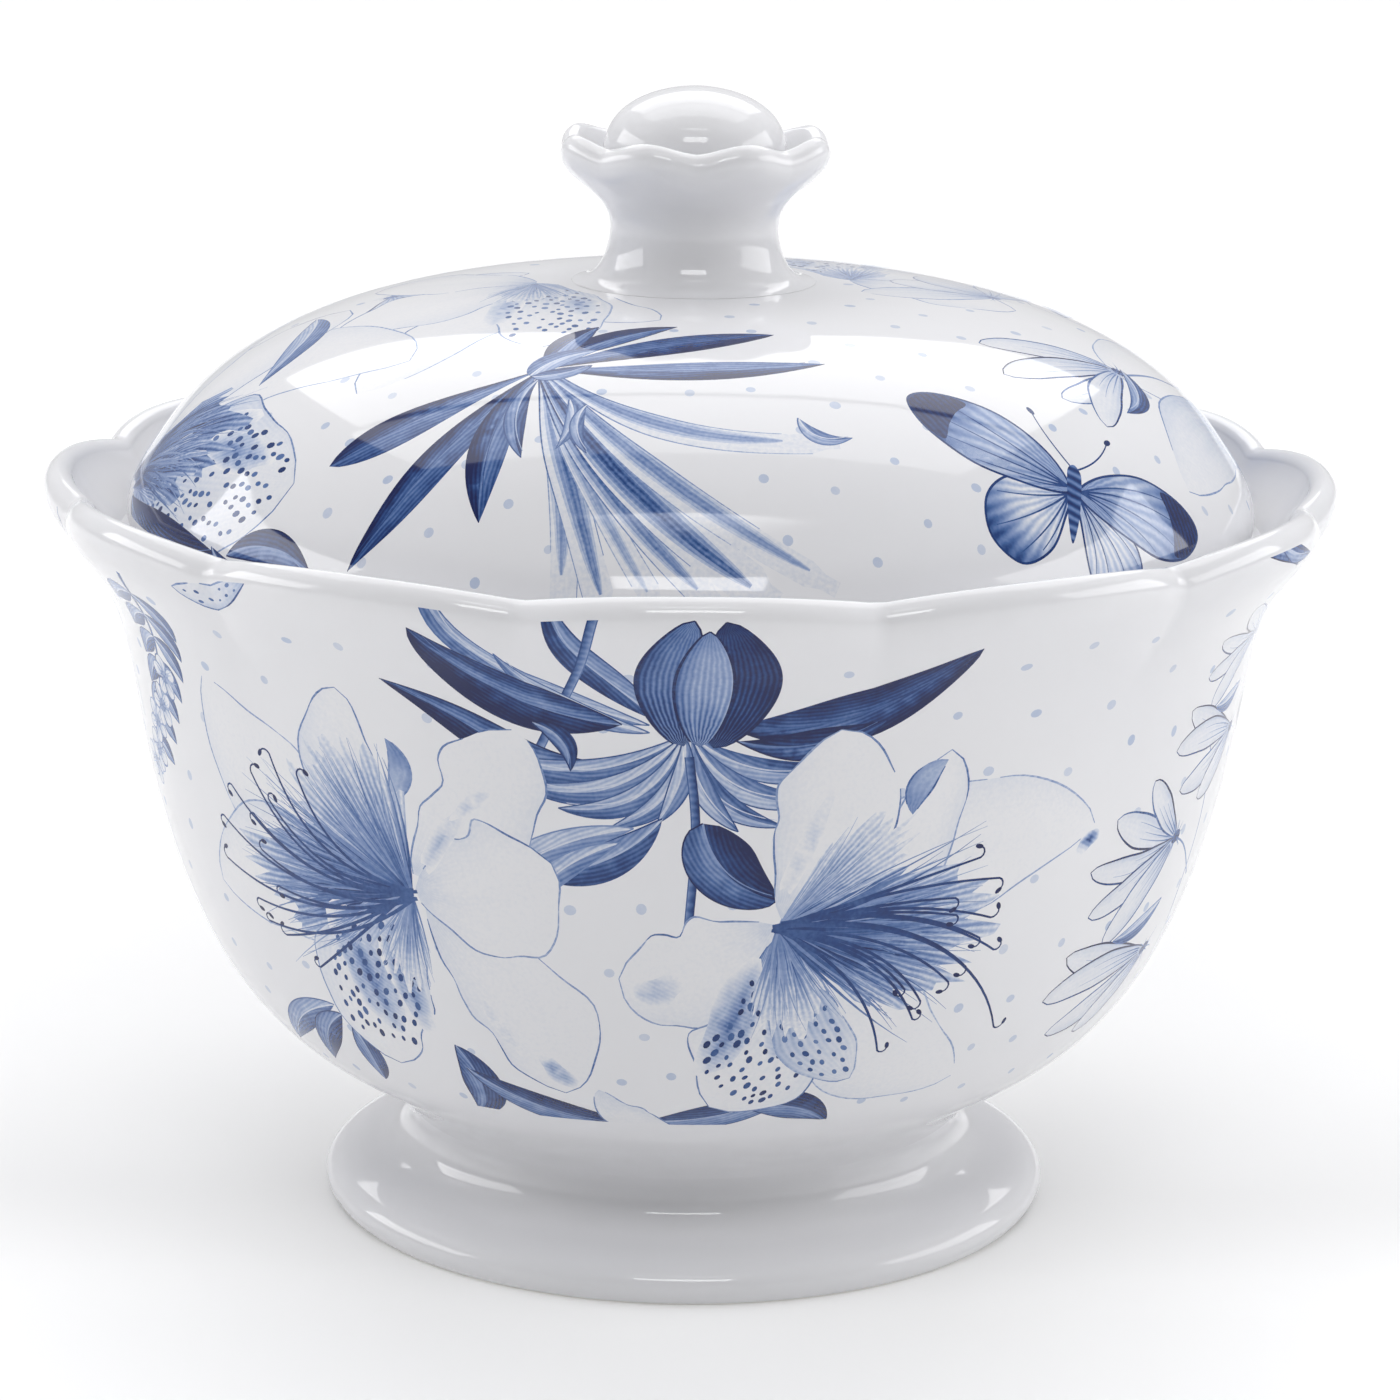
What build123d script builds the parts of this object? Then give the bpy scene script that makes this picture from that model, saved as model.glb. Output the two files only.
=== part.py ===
from build123d import *
import os

os.makedirs("parts", exist_ok=True)

# Covered sugar bowl in glazed porcelain.  Millimetres, +Z up, front is -Y.
# Origin: centre of the foot ring, on the plane it stands on.
# Every radius/height pair below is (r, z) in the half-plane through the axis.

# ---- driving dimensions -------------------------------------------------
RIM_R = 62.6            # widest point of the flared rim, at the middle of a lobe
RIM_NOTCH_R = 60.9      # rim radius in the notch between two lobes
RIM_TOP_Z = 73.8        # top of a rim lobe
RIM_NOTCH_DROP = 1.2    # how far the rim dips between two lobes
RIM_LOBES = 12
RIM_PHASE = -89.0       # direction of the front lobe's middle, from +X

JOINT_Z = 10.0          # plane where the pedestal foot is luted to the bowl
NECK_R = 27.9           # radius of both clay pieces at that plane

LEDGE_Z = 67.2          # top of the ledge that carries the lid
LEDGE_IN_R = 50.3       # inner radius of the ledge
LEDGE_OUT_R = 55.4      # foot of the sloping lip, outside the ledge

FLOOR_Z = 14.0          # inside floor of the bowl

SEAT_GAP = 0.3          # between the ledge and the lid's underside
LID_R = 54.5            # widest point of the lid's rounded edge
FLANGE_OUT_R = 49.6     # locating flange under the lid
FLANGE_IN_R = 47.0
FLANGE_DEPTH = 6.3      # below the lid's underside
PAD_Z = 91.4            # flat on the dome where the knob is luted
PAD_R = 11.8

COLLAR_R = 13.4         # ruffled collar, at the middle of a lobe
COLLAR_NOTCH_R = 12.7
COLLAR_TOP_Z = 105.8
COLLAR_DROP = 0.9       # how far the collar dips between two lobes
COLLAR_LOBES = 8
COLLAR_PHASE = -66.5    # middle of one collar lobe, from +X
COLLAR_FLOOR_Z = 101.6  # where the domed button sits inside the collar

BUTTON_R = 8.75
BUTTON_TOP_Z = 110.0

LID_UNDER_Z = LEDGE_Z + SEAT_GAP


def lobed_outline(count, lobe_r, notch_r, phase):
    """Arcs that bulge outwards and meet in shallow notches, as one closed line."""
    step = 360.0 / count
    for i in range(count):
        a0 = phase - step / 2 + i * step
        start = Vector(notch_r, 0).rotate(Axis.Z, a0)
        middle = Vector(lobe_r, 0).rotate(Axis.Z, a0 + step / 2)
        end = Vector(notch_r, 0).rotate(Axis.Z, a0 + step)
        ThreePointArc((start.X, start.Y), (middle.X, middle.Y), (end.X, end.Y))


# ---- bowl body ----------------------------------------------------------
# Outside, from the neck up over the belly to the flared rim.
BOWL_OUT = [
    (NECK_R, JOINT_Z), (30.1, 12.3), (34.0, 14.9), (38.95, 18.2), (44.4, 24.0),
    (49.85, 35.0), (53.6, 50.0), (54.95, 57.5), (56.3, 61.6), (58.6, 65.4),
    (61.3, 68.8), (RIM_R, 71.7),
]
# Inside, from the ledge's underside down to the floor.
BOWL_IN = [
    (LEDGE_IN_R, 65.6), (52.1, 62.2), (51.9, 57.5), (50.3, 49.0), (46.4, 35.6),
    (40.9, 25.2), (33.5, 18.6), (23.0, 15.0), (12.0, FLOOR_Z),
]

with BuildPart() as bowl_body:
    with BuildSketch(Plane.XZ):
        with BuildLine():
            Line((0, JOINT_Z), (NECK_R, JOINT_Z))
            Spline(*BOWL_OUT, tangents=[(0.6, 1), (0.05, 1)], tangent_scalars=(1, 1))
            # rolled lip
            ThreePointArc((RIM_R, 71.7), (62.1, 73.2), (61.2, RIM_TOP_Z))
            ThreePointArc((61.2, RIM_TOP_Z), (60.3, 73.5), (59.8, 72.7))
            Spline((59.8, 72.7), (58.2, 70.3), (56.6, 68.4), (LEDGE_OUT_R, LEDGE_Z),
                   tangents=[(-0.45, -1), (-1, -0.9)], tangent_scalars=(1, 1))
            Line((LEDGE_OUT_R, LEDGE_Z), (LEDGE_IN_R + 0.5, LEDGE_Z))
            RadiusArc((LEDGE_IN_R + 0.5, LEDGE_Z), (LEDGE_IN_R, LEDGE_Z - 0.5), -0.5)
            Line((LEDGE_IN_R, LEDGE_Z - 0.5), BOWL_IN[0])
            Spline(*BOWL_IN, tangents=[(0.7, -1), (-1, 0)], tangent_scalars=(1, 1))
            Line((12.0, FLOOR_Z), (0, FLOOR_Z))
            Line((0, FLOOR_Z), (0, JOINT_Z))
        make_face()
    revolve(axis=Axis.Z)
    # lobed plan shape of the rim
    with BuildSketch(Plane.XY.offset(60.0)):
        Circle(RIM_R + 6)
        with BuildSketch(mode=Mode.PRIVATE) as rim_plan:
            with BuildLine():
                lobed_outline(RIM_LOBES, RIM_R + 0.02, RIM_NOTCH_R, RIM_PHASE)
            make_face()
        add(rim_plan.sketch, mode=Mode.SUBTRACT)
    extrude(amount=20.0, mode=Mode.SUBTRACT)

# One shallow dip, cut along the radius at each notch of the rim.
HALF_PITCH = 3.14159265 * 61.5 / RIM_LOBES
with BuildPart() as rim_dip:
    with BuildSketch(Plane(origin=(56.0, 0, 0), x_dir=(0, 1, 0), z_dir=(1, 0, 0))):
        with BuildLine():
            Spline((-HALF_PITCH, RIM_TOP_Z + 0.01), (-HALF_PITCH / 2, RIM_TOP_Z - RIM_NOTCH_DROP * 0.25),
                   (0, RIM_TOP_Z - RIM_NOTCH_DROP))
            Spline((0, RIM_TOP_Z - RIM_NOTCH_DROP), (HALF_PITCH / 2, RIM_TOP_Z - RIM_NOTCH_DROP * 0.25),
                   (HALF_PITCH, RIM_TOP_Z + 0.01))
            Polyline((HALF_PITCH, RIM_TOP_Z + 0.01), (HALF_PITCH, RIM_TOP_Z + 3),
                     (-HALF_PITCH, RIM_TOP_Z + 3), (-HALF_PITCH, RIM_TOP_Z + 0.01))
        make_face()
    extrude(amount=10.0)

with bowl_body:
    for i in range(RIM_LOBES):
        angle = RIM_PHASE + (i + 0.5) * 360.0 / RIM_LOBES
        add(rim_dip.part, rotation=(0, 0, angle), mode=Mode.SUBTRACT)

# ---- pedestal foot ------------------------------------------------------
FOOT_OUT = [
    (NECK_R, JOINT_Z), (27.3, 8.2), (27.75, 6.5), (29.1, 5.25), (31.4, 4.55),
    (33.8, 4.0), (35.3, 3.2), (35.9, 2.0),
]
FOOT_IN = [
    (31.3, 0.5), (29.8, 1.9), (26.6, 3.4), (23.9, 5.2), (22.9, 7.6), (22.8, JOINT_Z),
]
with BuildPart() as pedestal_foot:
    with BuildSketch(Plane.XZ):
        with BuildLine():
            Spline(*FOOT_OUT, tangents=[(-0.6, -1), (0, -1)], tangent_scalars=(1, 1))
            Spline((35.9, 2.0), (35.45, 0.8), (34.3, 0), tangents=[(0, -1), (-1, 0)], tangent_scalars=(1, 1))
            Line((34.3, 0), (31.8, 0))
            RadiusArc((31.8, 0), (31.3, 0.5), 0.5)
            Spline(*FOOT_IN, tangents=[(-0.3, 1), (0, 1)], tangent_scalars=(1, 1))
            Line((22.8, JOINT_Z), (NECK_R, JOINT_Z))
        make_face()
    revolve(axis=Axis.Z)

# ---- lid dome, with its rounded edge and its locating flange ------------
LID_OUT = [
    (LID_R, 69.6), (54.2, 71.5), (52.0, 75.5), (48.0, 80.5), (42.0, 84.95),
    (34.0, 88.4), (26.0, 90.25), (18.0, 91.1), (PAD_R, PAD_Z),
]
FLANGE_Z = LID_UNDER_Z - FLANGE_DEPTH
LID_IN = [
    (FLANGE_IN_R, 68.5), (46.9, 73.0), (45.0, 77.4), (40.3, 81.9),
    (33.0, 85.3), (24.0, 87.3), (10.0, 88.2),
]
with BuildPart() as lid_dome:
    with BuildSketch(Plane.XZ):
        with BuildLine():
            Line((FLANGE_OUT_R + 0.3, LID_UNDER_Z), (53.2, LID_UNDER_Z))
            Spline((53.2, LID_UNDER_Z), (54.15, 68.3), (LID_R, 69.6), tangents=[(1, 0), (0, 1)], tangent_scalars=(1, 1))
            Spline(*LID_OUT, tangents=[(0, 1), (-1, 0.05)], tangent_scalars=(1, 1))
            Line((PAD_R, PAD_Z), (0, PAD_Z))
            Line((0, PAD_Z), (0, 88.2))
            Line((0, 88.2), LID_IN[-1])
            Spline(*reversed(LID_IN), tangents=[(1, 0), (0, -1)], tangent_scalars=(1, 1))
            Line(LID_IN[0], (FLANGE_IN_R, FLANGE_Z + 0.8))
            RadiusArc((FLANGE_IN_R, FLANGE_Z + 0.8), (FLANGE_IN_R + 0.8, FLANGE_Z), -0.8)
            Line((FLANGE_IN_R + 0.8, FLANGE_Z), (FLANGE_OUT_R - 1.0, FLANGE_Z))
            RadiusArc((FLANGE_OUT_R - 1.0, FLANGE_Z), (FLANGE_OUT_R, FLANGE_Z + 1.0), -1.0)
            Line((FLANGE_OUT_R, FLANGE_Z + 1.0), (FLANGE_OUT_R + 0.3, LID_UNDER_Z))
        make_face()
    revolve(axis=Axis.Z)

# ---- knob: ruffled collar on a waisted stem -----------------------------
COLLAR_OUT = [
    (PAD_R, PAD_Z), (10.0, 91.95), (8.85, 93.3), (8.25, 95.2), (8.1, 96.8), (8.6, 98.5),
    (10.2, 100.3), (12.0, 101.9), (13.1, 103.2), (COLLAR_R, 104.3),
]
with BuildPart() as knob_collar:
    with BuildSketch(Plane.XZ):
        with BuildLine():
            Line((0, PAD_Z), (PAD_R, PAD_Z))
            Spline(*COLLAR_OUT, tangents=[(-1, 0.2), (0, 1)], tangent_scalars=(1, 1))
            ThreePointArc((COLLAR_R, 104.3), (13.05, 105.3), (12.3, COLLAR_TOP_Z))
            Spline((12.3, COLLAR_TOP_Z), (11.2, 105.1), (10.1, 103.7), (8.8, 102.3),
                   (7.2, COLLAR_FLOOR_Z), tangents=[(-1, 0), (-1, -0.3)], tangent_scalars=(1, 1))
            Line((7.2, COLLAR_FLOOR_Z), (0, COLLAR_FLOOR_Z))
            Line((0, COLLAR_FLOOR_Z), (0, PAD_Z))
        make_face()
    revolve(axis=Axis.Z)
    with BuildSketch(Plane.XY.offset(102.0)):
        Circle(COLLAR_R + 3)
        with BuildSketch(mode=Mode.PRIVATE) as collar_plan:
            with BuildLine():
                lobed_outline(COLLAR_LOBES, COLLAR_R + 0.02, COLLAR_NOTCH_R, COLLAR_PHASE)
            make_face()
        add(collar_plan.sketch, mode=Mode.SUBTRACT)
    extrude(amount=6.0, mode=Mode.SUBTRACT)

# One dip, cut along the radius at each notch of the collar.
HALF_FRILL = 3.14159265 * 12.6 / COLLAR_LOBES
with BuildPart() as collar_dip:
    with BuildSketch(Plane(origin=(10.4, 0, 0), x_dir=(0, 1, 0), z_dir=(1, 0, 0))):
        with BuildLine():
            Spline((-HALF_FRILL, COLLAR_TOP_Z + 0.01), (-HALF_FRILL / 2, COLLAR_TOP_Z - COLLAR_DROP * 0.4),
                   (0, COLLAR_TOP_Z - COLLAR_DROP), (HALF_FRILL / 2, COLLAR_TOP_Z - COLLAR_DROP * 0.4),
                   (HALF_FRILL, COLLAR_TOP_Z + 0.01))
            Polyline((HALF_FRILL, COLLAR_TOP_Z + 0.01), (HALF_FRILL, COLLAR_TOP_Z + 2),
                     (-HALF_FRILL, COLLAR_TOP_Z + 2), (-HALF_FRILL, COLLAR_TOP_Z + 0.01))
        make_face()
    extrude(amount=5.0)

with knob_collar:
    for i in range(COLLAR_LOBES):
        angle = COLLAR_PHASE + (i + 0.5) * 360.0 / COLLAR_LOBES
        add(collar_dip.part, rotation=(0, 0, angle), mode=Mode.SUBTRACT)

# ---- knob: domed button inside the collar -------------------------------
BUTTON_OUT = [
    (7.1, COLLAR_FLOOR_Z), (8.3, 102.7), (BUTTON_R, 104.2), (8.4, 105.8),
    (7.45, 107.3), (5.5, 108.75), (3.0, 109.65), (0, BUTTON_TOP_Z),
]
with BuildPart() as knob_button:
    with BuildSketch(Plane.XZ):
        with BuildLine():
            Line((0, COLLAR_FLOOR_Z), (7.1, COLLAR_FLOOR_Z))
            Spline(*BUTTON_OUT, tangents=[(0.8, 1), (-1, 0)], tangent_scalars=(1, 1))
            Line((0, BUTTON_TOP_Z), (0, COLLAR_FLOOR_Z))
        make_face()
    revolve(axis=Axis.Z)

# ---- labels and files ---------------------------------------------------
bowl_body.part.label = "bowl_body"
pedestal_foot.part.label = "pedestal_foot"
lid_dome.part.label = "lid_dome"
knob_collar.part.label = "knob_collar"
knob_button.part.label = "knob_button"

export_step(bowl_body.part, "parts/bowl_body.step")
export_step(pedestal_foot.part, "parts/pedestal_foot.step")
export_step(lid_dome.part, "parts/lid_dome.step")
export_step(knob_collar.part, "parts/knob_collar.step")
export_step(knob_button.part, "parts/knob_button.step")
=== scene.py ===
import math
import bpy
import numpy as np
from mathutils import Matrix, Vector
from mathutils.geometry import delaunay_2d_cdt


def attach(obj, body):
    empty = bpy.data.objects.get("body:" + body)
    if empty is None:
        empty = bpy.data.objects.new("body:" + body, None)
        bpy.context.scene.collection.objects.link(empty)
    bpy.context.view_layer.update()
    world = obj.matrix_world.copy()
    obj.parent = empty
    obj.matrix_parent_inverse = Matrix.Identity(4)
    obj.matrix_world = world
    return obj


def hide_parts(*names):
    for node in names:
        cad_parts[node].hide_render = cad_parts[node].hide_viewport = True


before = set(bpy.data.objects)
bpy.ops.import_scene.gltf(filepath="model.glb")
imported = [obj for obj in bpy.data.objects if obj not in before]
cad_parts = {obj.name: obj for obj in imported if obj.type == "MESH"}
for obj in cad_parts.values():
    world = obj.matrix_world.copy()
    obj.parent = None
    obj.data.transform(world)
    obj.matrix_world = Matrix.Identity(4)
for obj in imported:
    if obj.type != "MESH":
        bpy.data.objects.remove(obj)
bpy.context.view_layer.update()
RNG = np.random.default_rng(7)
MM = 0.001

# ------------------------------------------------------------------ profiles
# (r, z) in millimetres, the same control points as the CAD nodes.


def clamped_spline(pts, t0, t1, step=0.08):
    """Cubic spline on chord length with unit end tangents, sampled finely."""
    p = np.array(pts, float)
    h = np.linalg.norm(np.diff(p, axis=0), axis=1)
    u = np.concatenate([[0], np.cumsum(h)])
    n = len(p)
    t0 = np.array(t0, float) / np.linalg.norm(t0)
    t1 = np.array(t1, float) / np.linalg.norm(t1)
    a = np.zeros((n, n)); b = np.zeros((n, 2))
    a[0, 0] = 1; b[0] = t0; a[-1, -1] = 1; b[-1] = t1
    for i in range(1, n - 1):
        a[i, i - 1] = h[i]; a[i, i] = 2 * (h[i - 1] + h[i]); a[i, i + 1] = h[i - 1]
        b[i] = 3 * (h[i] * (p[i] - p[i - 1]) / h[i - 1] + h[i - 1] * (p[i + 1] - p[i]) / h[i])
    m = np.linalg.solve(a, b)
    out = []
    for i in range(n - 1):
        k = max(2, int(h[i] / step))
        for j in range(k):
            s = j / k
            out.append((2 * s**3 - 3 * s**2 + 1) * p[i] + (s**3 - 2 * s**2 + s) * h[i] * m[i]
                       + (-2 * s**3 + 3 * s**2) * p[i + 1] + (s**3 - s**2) * h[i] * m[i + 1])
    out.append(p[-1])
    return np.array(out)


def line(a, b, step=0.1):
    n = max(1, int(math.dist(a, b) / step))
    return np.array([[a[0] + (b[0] - a[0]) * i / n, a[1] + (b[1] - a[1]) * i / n] for i in range(n + 1)])


def join_runs(*runs):
    pts = [runs[0][0]]
    for r in runs:
        for p in r:
            if math.dist(p, pts[-1]) > 1e-6:
                pts.append(p)
    return np.array(pts)


def arc_lengths(p):
    return np.concatenate([[0], np.cumsum(np.linalg.norm(np.diff(p, axis=0), axis=1))])


def rounded(p, radius):
    """The same line with its corners eased over a short length."""
    s = arc_lengths(p)
    q = p.copy()
    k = 9
    for _ in range(3):
        new = q.copy()
        for i in range(1, len(q) - 1):
            lo = np.searchsorted(s, s[i] - radius); hi = np.searchsorted(s, s[i] + radius, side="right")
            w = min(i - lo, hi - 1 - i)
            if w > 0:
                new[i] = q[i - w:i + w + 1].mean(0)
        q = new
    return q


def arc3(a, m, b, n=24):
    ax, ay = a; bx, by = m; cx, cy = b
    d = 2 * (ax * (by - cy) + bx * (cy - ay) + cx * (ay - by))
    ux = ((ax**2 + ay**2) * (by - cy) + (bx**2 + by**2) * (cy - ay) + (cx**2 + cy**2) * (ay - by)) / d
    uy = ((ax**2 + ay**2) * (cx - bx) + (bx**2 + by**2) * (ax - cx) + (cx**2 + cy**2) * (bx - ax)) / d
    r = math.hypot(ax - ux, ay - uy)
    t = [math.atan2(p[1] - uy, p[0] - ux) for p in (a, m, b)]
    while t[1] - t[0] > math.pi: t[1] -= 2 * math.pi
    while t[1] - t[0] < -math.pi: t[1] += 2 * math.pi
    while t[2] - t[1] > math.pi: t[2] -= 2 * math.pi
    while t[2] - t[1] < -math.pi: t[2] += 2 * math.pi
    return np.array([[ux + r * math.cos(t[0] + (t[2] - t[0]) * i / n), uy + r * math.sin(t[0] + (t[2] - t[0]) * i / n)] for i in range(n + 1)])


RIM_R, RIM_TOP_Z, JOINT_Z, NECK_R = 62.6, 73.8, 10.0, 27.9
LEDGE_Z, LEDGE_IN_R, LEDGE_OUT_R, FLOOR_Z = 67.2, 50.3, 55.4, 14.0
SEAT_GAP, LID_R, FLANGE_OUT_R, FLANGE_IN_R, PAD_Z, PAD_R = 0.3, 54.5, 49.6, 47.0, 91.4, 11.8
LID_UNDER_Z = LEDGE_Z + SEAT_GAP
FLANGE_Z = LID_UNDER_Z - 6.3
COLLAR_R, COLLAR_TOP_Z, COLLAR_FLOOR_Z, BUTTON_R, BUTTON_TOP_Z = 13.4, 105.8, 101.6, 8.75, 110.0
LOBES, LOBE_PHASE = 12, math.radians(1.0)          # phase from the front, towards +X
FRILLS, FRILL_PHASE = 8, math.radians(23.5)

BOWL_OUT = [(NECK_R, JOINT_Z), (30.1, 12.3), (34.0, 14.9), (38.95, 18.2), (44.4, 24.0), (49.85, 35.0), (53.6, 50.0),
            (54.95, 57.5), (56.3, 61.6), (58.6, 65.4), (61.3, 68.8), (RIM_R, 71.7)]
BOWL_IN = [(LEDGE_IN_R, 65.6), (52.1, 62.2), (51.9, 57.5), (50.3, 49.0), (46.4, 35.6), (40.9, 25.2), (33.5, 18.6),
           (23.0, 15.0), (12.0, FLOOR_Z)]
bowl_runs = [
    line((0.0, JOINT_Z), (NECK_R, JOINT_Z)),
    clamped_spline(BOWL_OUT, (0.6, 1), (0.05, 1)),
    arc3((RIM_R, 71.7), (62.1, 73.2), (61.2, RIM_TOP_Z)),
    arc3((61.2, RIM_TOP_Z), (60.3, 73.5), (59.8, 72.7)),
    clamped_spline([(59.8, 72.7), (58.2, 70.3), (56.6, 68.4), (LEDGE_OUT_R, LEDGE_Z)], (-0.45, -1), (-1, -0.9)),
    line((LEDGE_OUT_R, LEDGE_Z), (LEDGE_IN_R + 0.5, LEDGE_Z)),
    arc3((LEDGE_IN_R + 0.5, LEDGE_Z), (LEDGE_IN_R + 0.147, LEDGE_Z - 0.147), (LEDGE_IN_R, LEDGE_Z - 0.5), 8),
    line((LEDGE_IN_R, LEDGE_Z - 0.5), BOWL_IN[0]),
    clamped_spline(BOWL_IN, (0.7, -1), (-1, 0)),
    line((12.0, FLOOR_Z), (0.0, FLOOR_Z)),
]
BOWL = join_runs(*bowl_runs)
BOWL_S = arc_lengths(BOWL)

LID_OUT = [(LID_R, 69.6), (54.2, 71.5), (52.0, 75.5), (48.0, 80.5), (42.0, 84.95), (34.0, 88.4), (26.0, 90.25),
           (18.0, 91.1), (PAD_R, PAD_Z)]
LID_IN = [(FLANGE_IN_R, 68.5), (46.9, 73.0), (45.0, 77.4), (40.3, 81.9), (33.0, 85.3), (24.0, 87.3), (10.0, 88.2)]
lid_runs = [
    line((0.0, PAD_Z), (PAD_R, PAD_Z)),
    clamped_spline(LID_OUT, (0, 1), (-1, 0.05))[::-1],
    clamped_spline([(53.2, LID_UNDER_Z), (54.15, 68.3), (LID_R, 69.6)], (1, 0), (0, 1))[::-1],
    line((53.2, LID_UNDER_Z), (FLANGE_OUT_R + 0.3, LID_UNDER_Z)),
    line((FLANGE_OUT_R + 0.3, LID_UNDER_Z), (FLANGE_OUT_R, FLANGE_Z + 1.0)),
    arc3((FLANGE_OUT_R, FLANGE_Z + 1.0), (FLANGE_OUT_R - 0.293, FLANGE_Z + 0.293), (FLANGE_OUT_R - 1.0, FLANGE_Z), 10),
    line((FLANGE_OUT_R - 1.0, FLANGE_Z), (FLANGE_IN_R + 0.8, FLANGE_Z)),
    arc3((FLANGE_IN_R + 0.8, FLANGE_Z), (FLANGE_IN_R + 0.234, FLANGE_Z + 0.234), (FLANGE_IN_R, FLANGE_Z + 0.8), 10),
    line((FLANGE_IN_R, FLANGE_Z + 0.8), LID_IN[0]),
    clamped_spline(LID_IN, (0, 1), (-1, 0)),
    line((10.0, 88.2), (0.0, 88.2)),
]
LID = join_runs(*lid_runs)
LID_S = arc_lengths(LID)

FOOT_OUT = [(NECK_R, JOINT_Z), (27.3, 8.2), (27.75, 6.5), (29.1, 5.25), (31.4, 4.55), (33.8, 4.0), (35.3, 3.2), (35.9, 2.0)]
FOOT_IN = [(31.3, 0.5), (29.8, 1.9), (26.6, 3.4), (23.9, 5.2), (22.9, 7.6), (22.8, JOINT_Z)]
FOOT = join_runs(
    clamped_spline(FOOT_OUT, (-0.6, -1), (0, -1)),
    clamped_spline([(35.9, 2.0), (35.45, 0.8), (34.3, 0.0)], (0, -1), (-1, 0)),
    line((34.3, 0.0), (31.8, 0.0)),
    arc3((31.8, 0.0), (31.446, 0.146), (31.3, 0.5), 8),
    clamped_spline(FOOT_IN, (-0.3, 1), (0, 1)),
    line((22.8, JOINT_Z), (NECK_R, JOINT_Z)),
)
COLLAR_OUT = [(PAD_R, PAD_Z), (10.0, 91.95), (8.85, 93.3), (8.25, 95.2), (8.1, 96.8), (8.6, 98.5), (10.2, 100.3), (12.0, 101.9),
              (13.1, 103.2), (COLLAR_R, 104.3)]
COLLAR = join_runs(
    line((0.0, PAD_Z), (PAD_R, PAD_Z)),
    clamped_spline(COLLAR_OUT, (-1, 0.2), (0, 1)),
    arc3((COLLAR_R, 104.3), (13.05, 105.3), (12.3, COLLAR_TOP_Z)),
    clamped_spline([(12.3, COLLAR_TOP_Z), (11.2, 105.1), (10.1, 103.7), (8.8, 102.3), (7.2, COLLAR_FLOOR_Z)],
                   (-1, 0), (-1, -0.3)),
    line((7.2, COLLAR_FLOOR_Z), (0.0, COLLAR_FLOOR_Z)),
)
BUTTON = join_runs(
    line((0.0, COLLAR_FLOOR_Z), (7.1, COLLAR_FLOOR_Z)),
    clamped_spline([(7.1, COLLAR_FLOOR_Z), (8.3, 102.7), (BUTTON_R, 104.2), (8.4, 105.8), (7.45, 107.3), (5.5, 108.75),
                    (3.0, 109.65), (0.0, BUTTON_TOP_Z)], (0.8, 1), (-1, 0)),
)


def on_profile(profile, s_all, s):
    return np.interp(s, s_all, profile[:, 0]), np.interp(s, s_all, profile[:, 1])


def smooth01(x):
    x = np.clip(x, 0, 1)
    return x * x * (3 - 2 * x)


def find_s(profile, s_all, z, r_min=0.0, side="first"):
    """Arc length of the first (or last) profile point that reaches height z, outside radius r_min."""
    k = np.where((profile[:, 1] >= z) & (profile[:, 0] >= r_min))[0]
    return float(s_all[k[0] if side == "first" else k[-1]])


# where along each profile things happen
BOWL_S_NECK = NECK_R
BOWL_S_Z58 = find_s(BOWL, BOWL_S, 56.0, 50)
BOWL_S_Z70 = find_s(BOWL, BOWL_S, 71.0, 60)
BOWL_S_LIP_IN = float(BOWL_S[np.argmin(np.abs(BOWL - np.array([58.2, 70.3])).sum(1))])
BOWL_S_CORNER = float(BOWL_S[np.argmin(np.abs(BOWL - np.array([LEDGE_OUT_R, LEDGE_Z])).sum(1))])
PRINT_LO = find_s(BOWL, BOWL_S, 19.9, 30)
PRINT_HI = find_s(BOWL, BOWL_S, 72.1, 60)


def cusp(theta, count, phase):
    """0 in the middle of a lobe, 1 in the notch between two lobes."""
    f = (theta - phase) / (2 * math.pi / count)
    d = np.abs(f - np.round(f)) * 2
    return d ** 2.2


def bowl_point(theta, s):
    r, z = on_profile(BOWL, BOWL_S, s)
    w = smooth01((s - BOWL_S_Z58) / (BOWL_S_Z70 - BOWL_S_Z58)) ** 1.3 * (1 - smooth01((s - BOWL_S_LIP_IN) / (BOWL_S_CORNER - BOWL_S_LIP_IN)))
    c = cusp(theta, LOBES, LOBE_PHASE)
    r = r - w * (1.9 * c - 0.0)
    z = z - w * 1.3 * c
    return np.stack([r * np.sin(theta), -r * np.cos(theta), z], -1)


def lid_point(theta, s):
    r, z = on_profile(LID, LID_S, s)
    return np.stack([r * np.sin(theta), -r * np.cos(theta), z], -1)


COLLAR_S = arc_lengths(COLLAR)
COLLAR_S_W0 = float(COLLAR_S[np.argmin(np.abs(COLLAR - np.array([8.9, 99.0])).sum(1))])
COLLAR_S_W1 = float(COLLAR_S[np.argmin(np.abs(COLLAR - np.array([13.1, 103.2])).sum(1))])
COLLAR_S_IN0 = float(COLLAR_S[np.argmin(np.abs(COLLAR - np.array([11.2, 105.1])).sum(1))])
COLLAR_S_IN1 = float(COLLAR_S[np.argmin(np.abs(COLLAR - np.array([8.8, 102.3])).sum(1))])


def collar_point(theta, s):
    r, z = on_profile(COLLAR, COLLAR_S, s)
    w = smooth01((s - COLLAR_S_W0) / (COLLAR_S_W1 - COLLAR_S_W0)) * (1 - smooth01((s - COLLAR_S_IN0) / (COLLAR_S_IN1 - COLLAR_S_IN0)))
    f = (theta - FRILL_PHASE) / (2 * math.pi / FRILLS)
    d = np.abs(f - np.round(f)) * 2
    c = 0.75 * (0.5 - 0.5 * np.cos(math.pi * d)) + 0.25 * d ** 2
    r = r - w * 0.7 * c
    z = z - w * 0.92 * c
    return np.stack([r * np.sin(theta), -r * np.cos(theta), z], -1)


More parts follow.
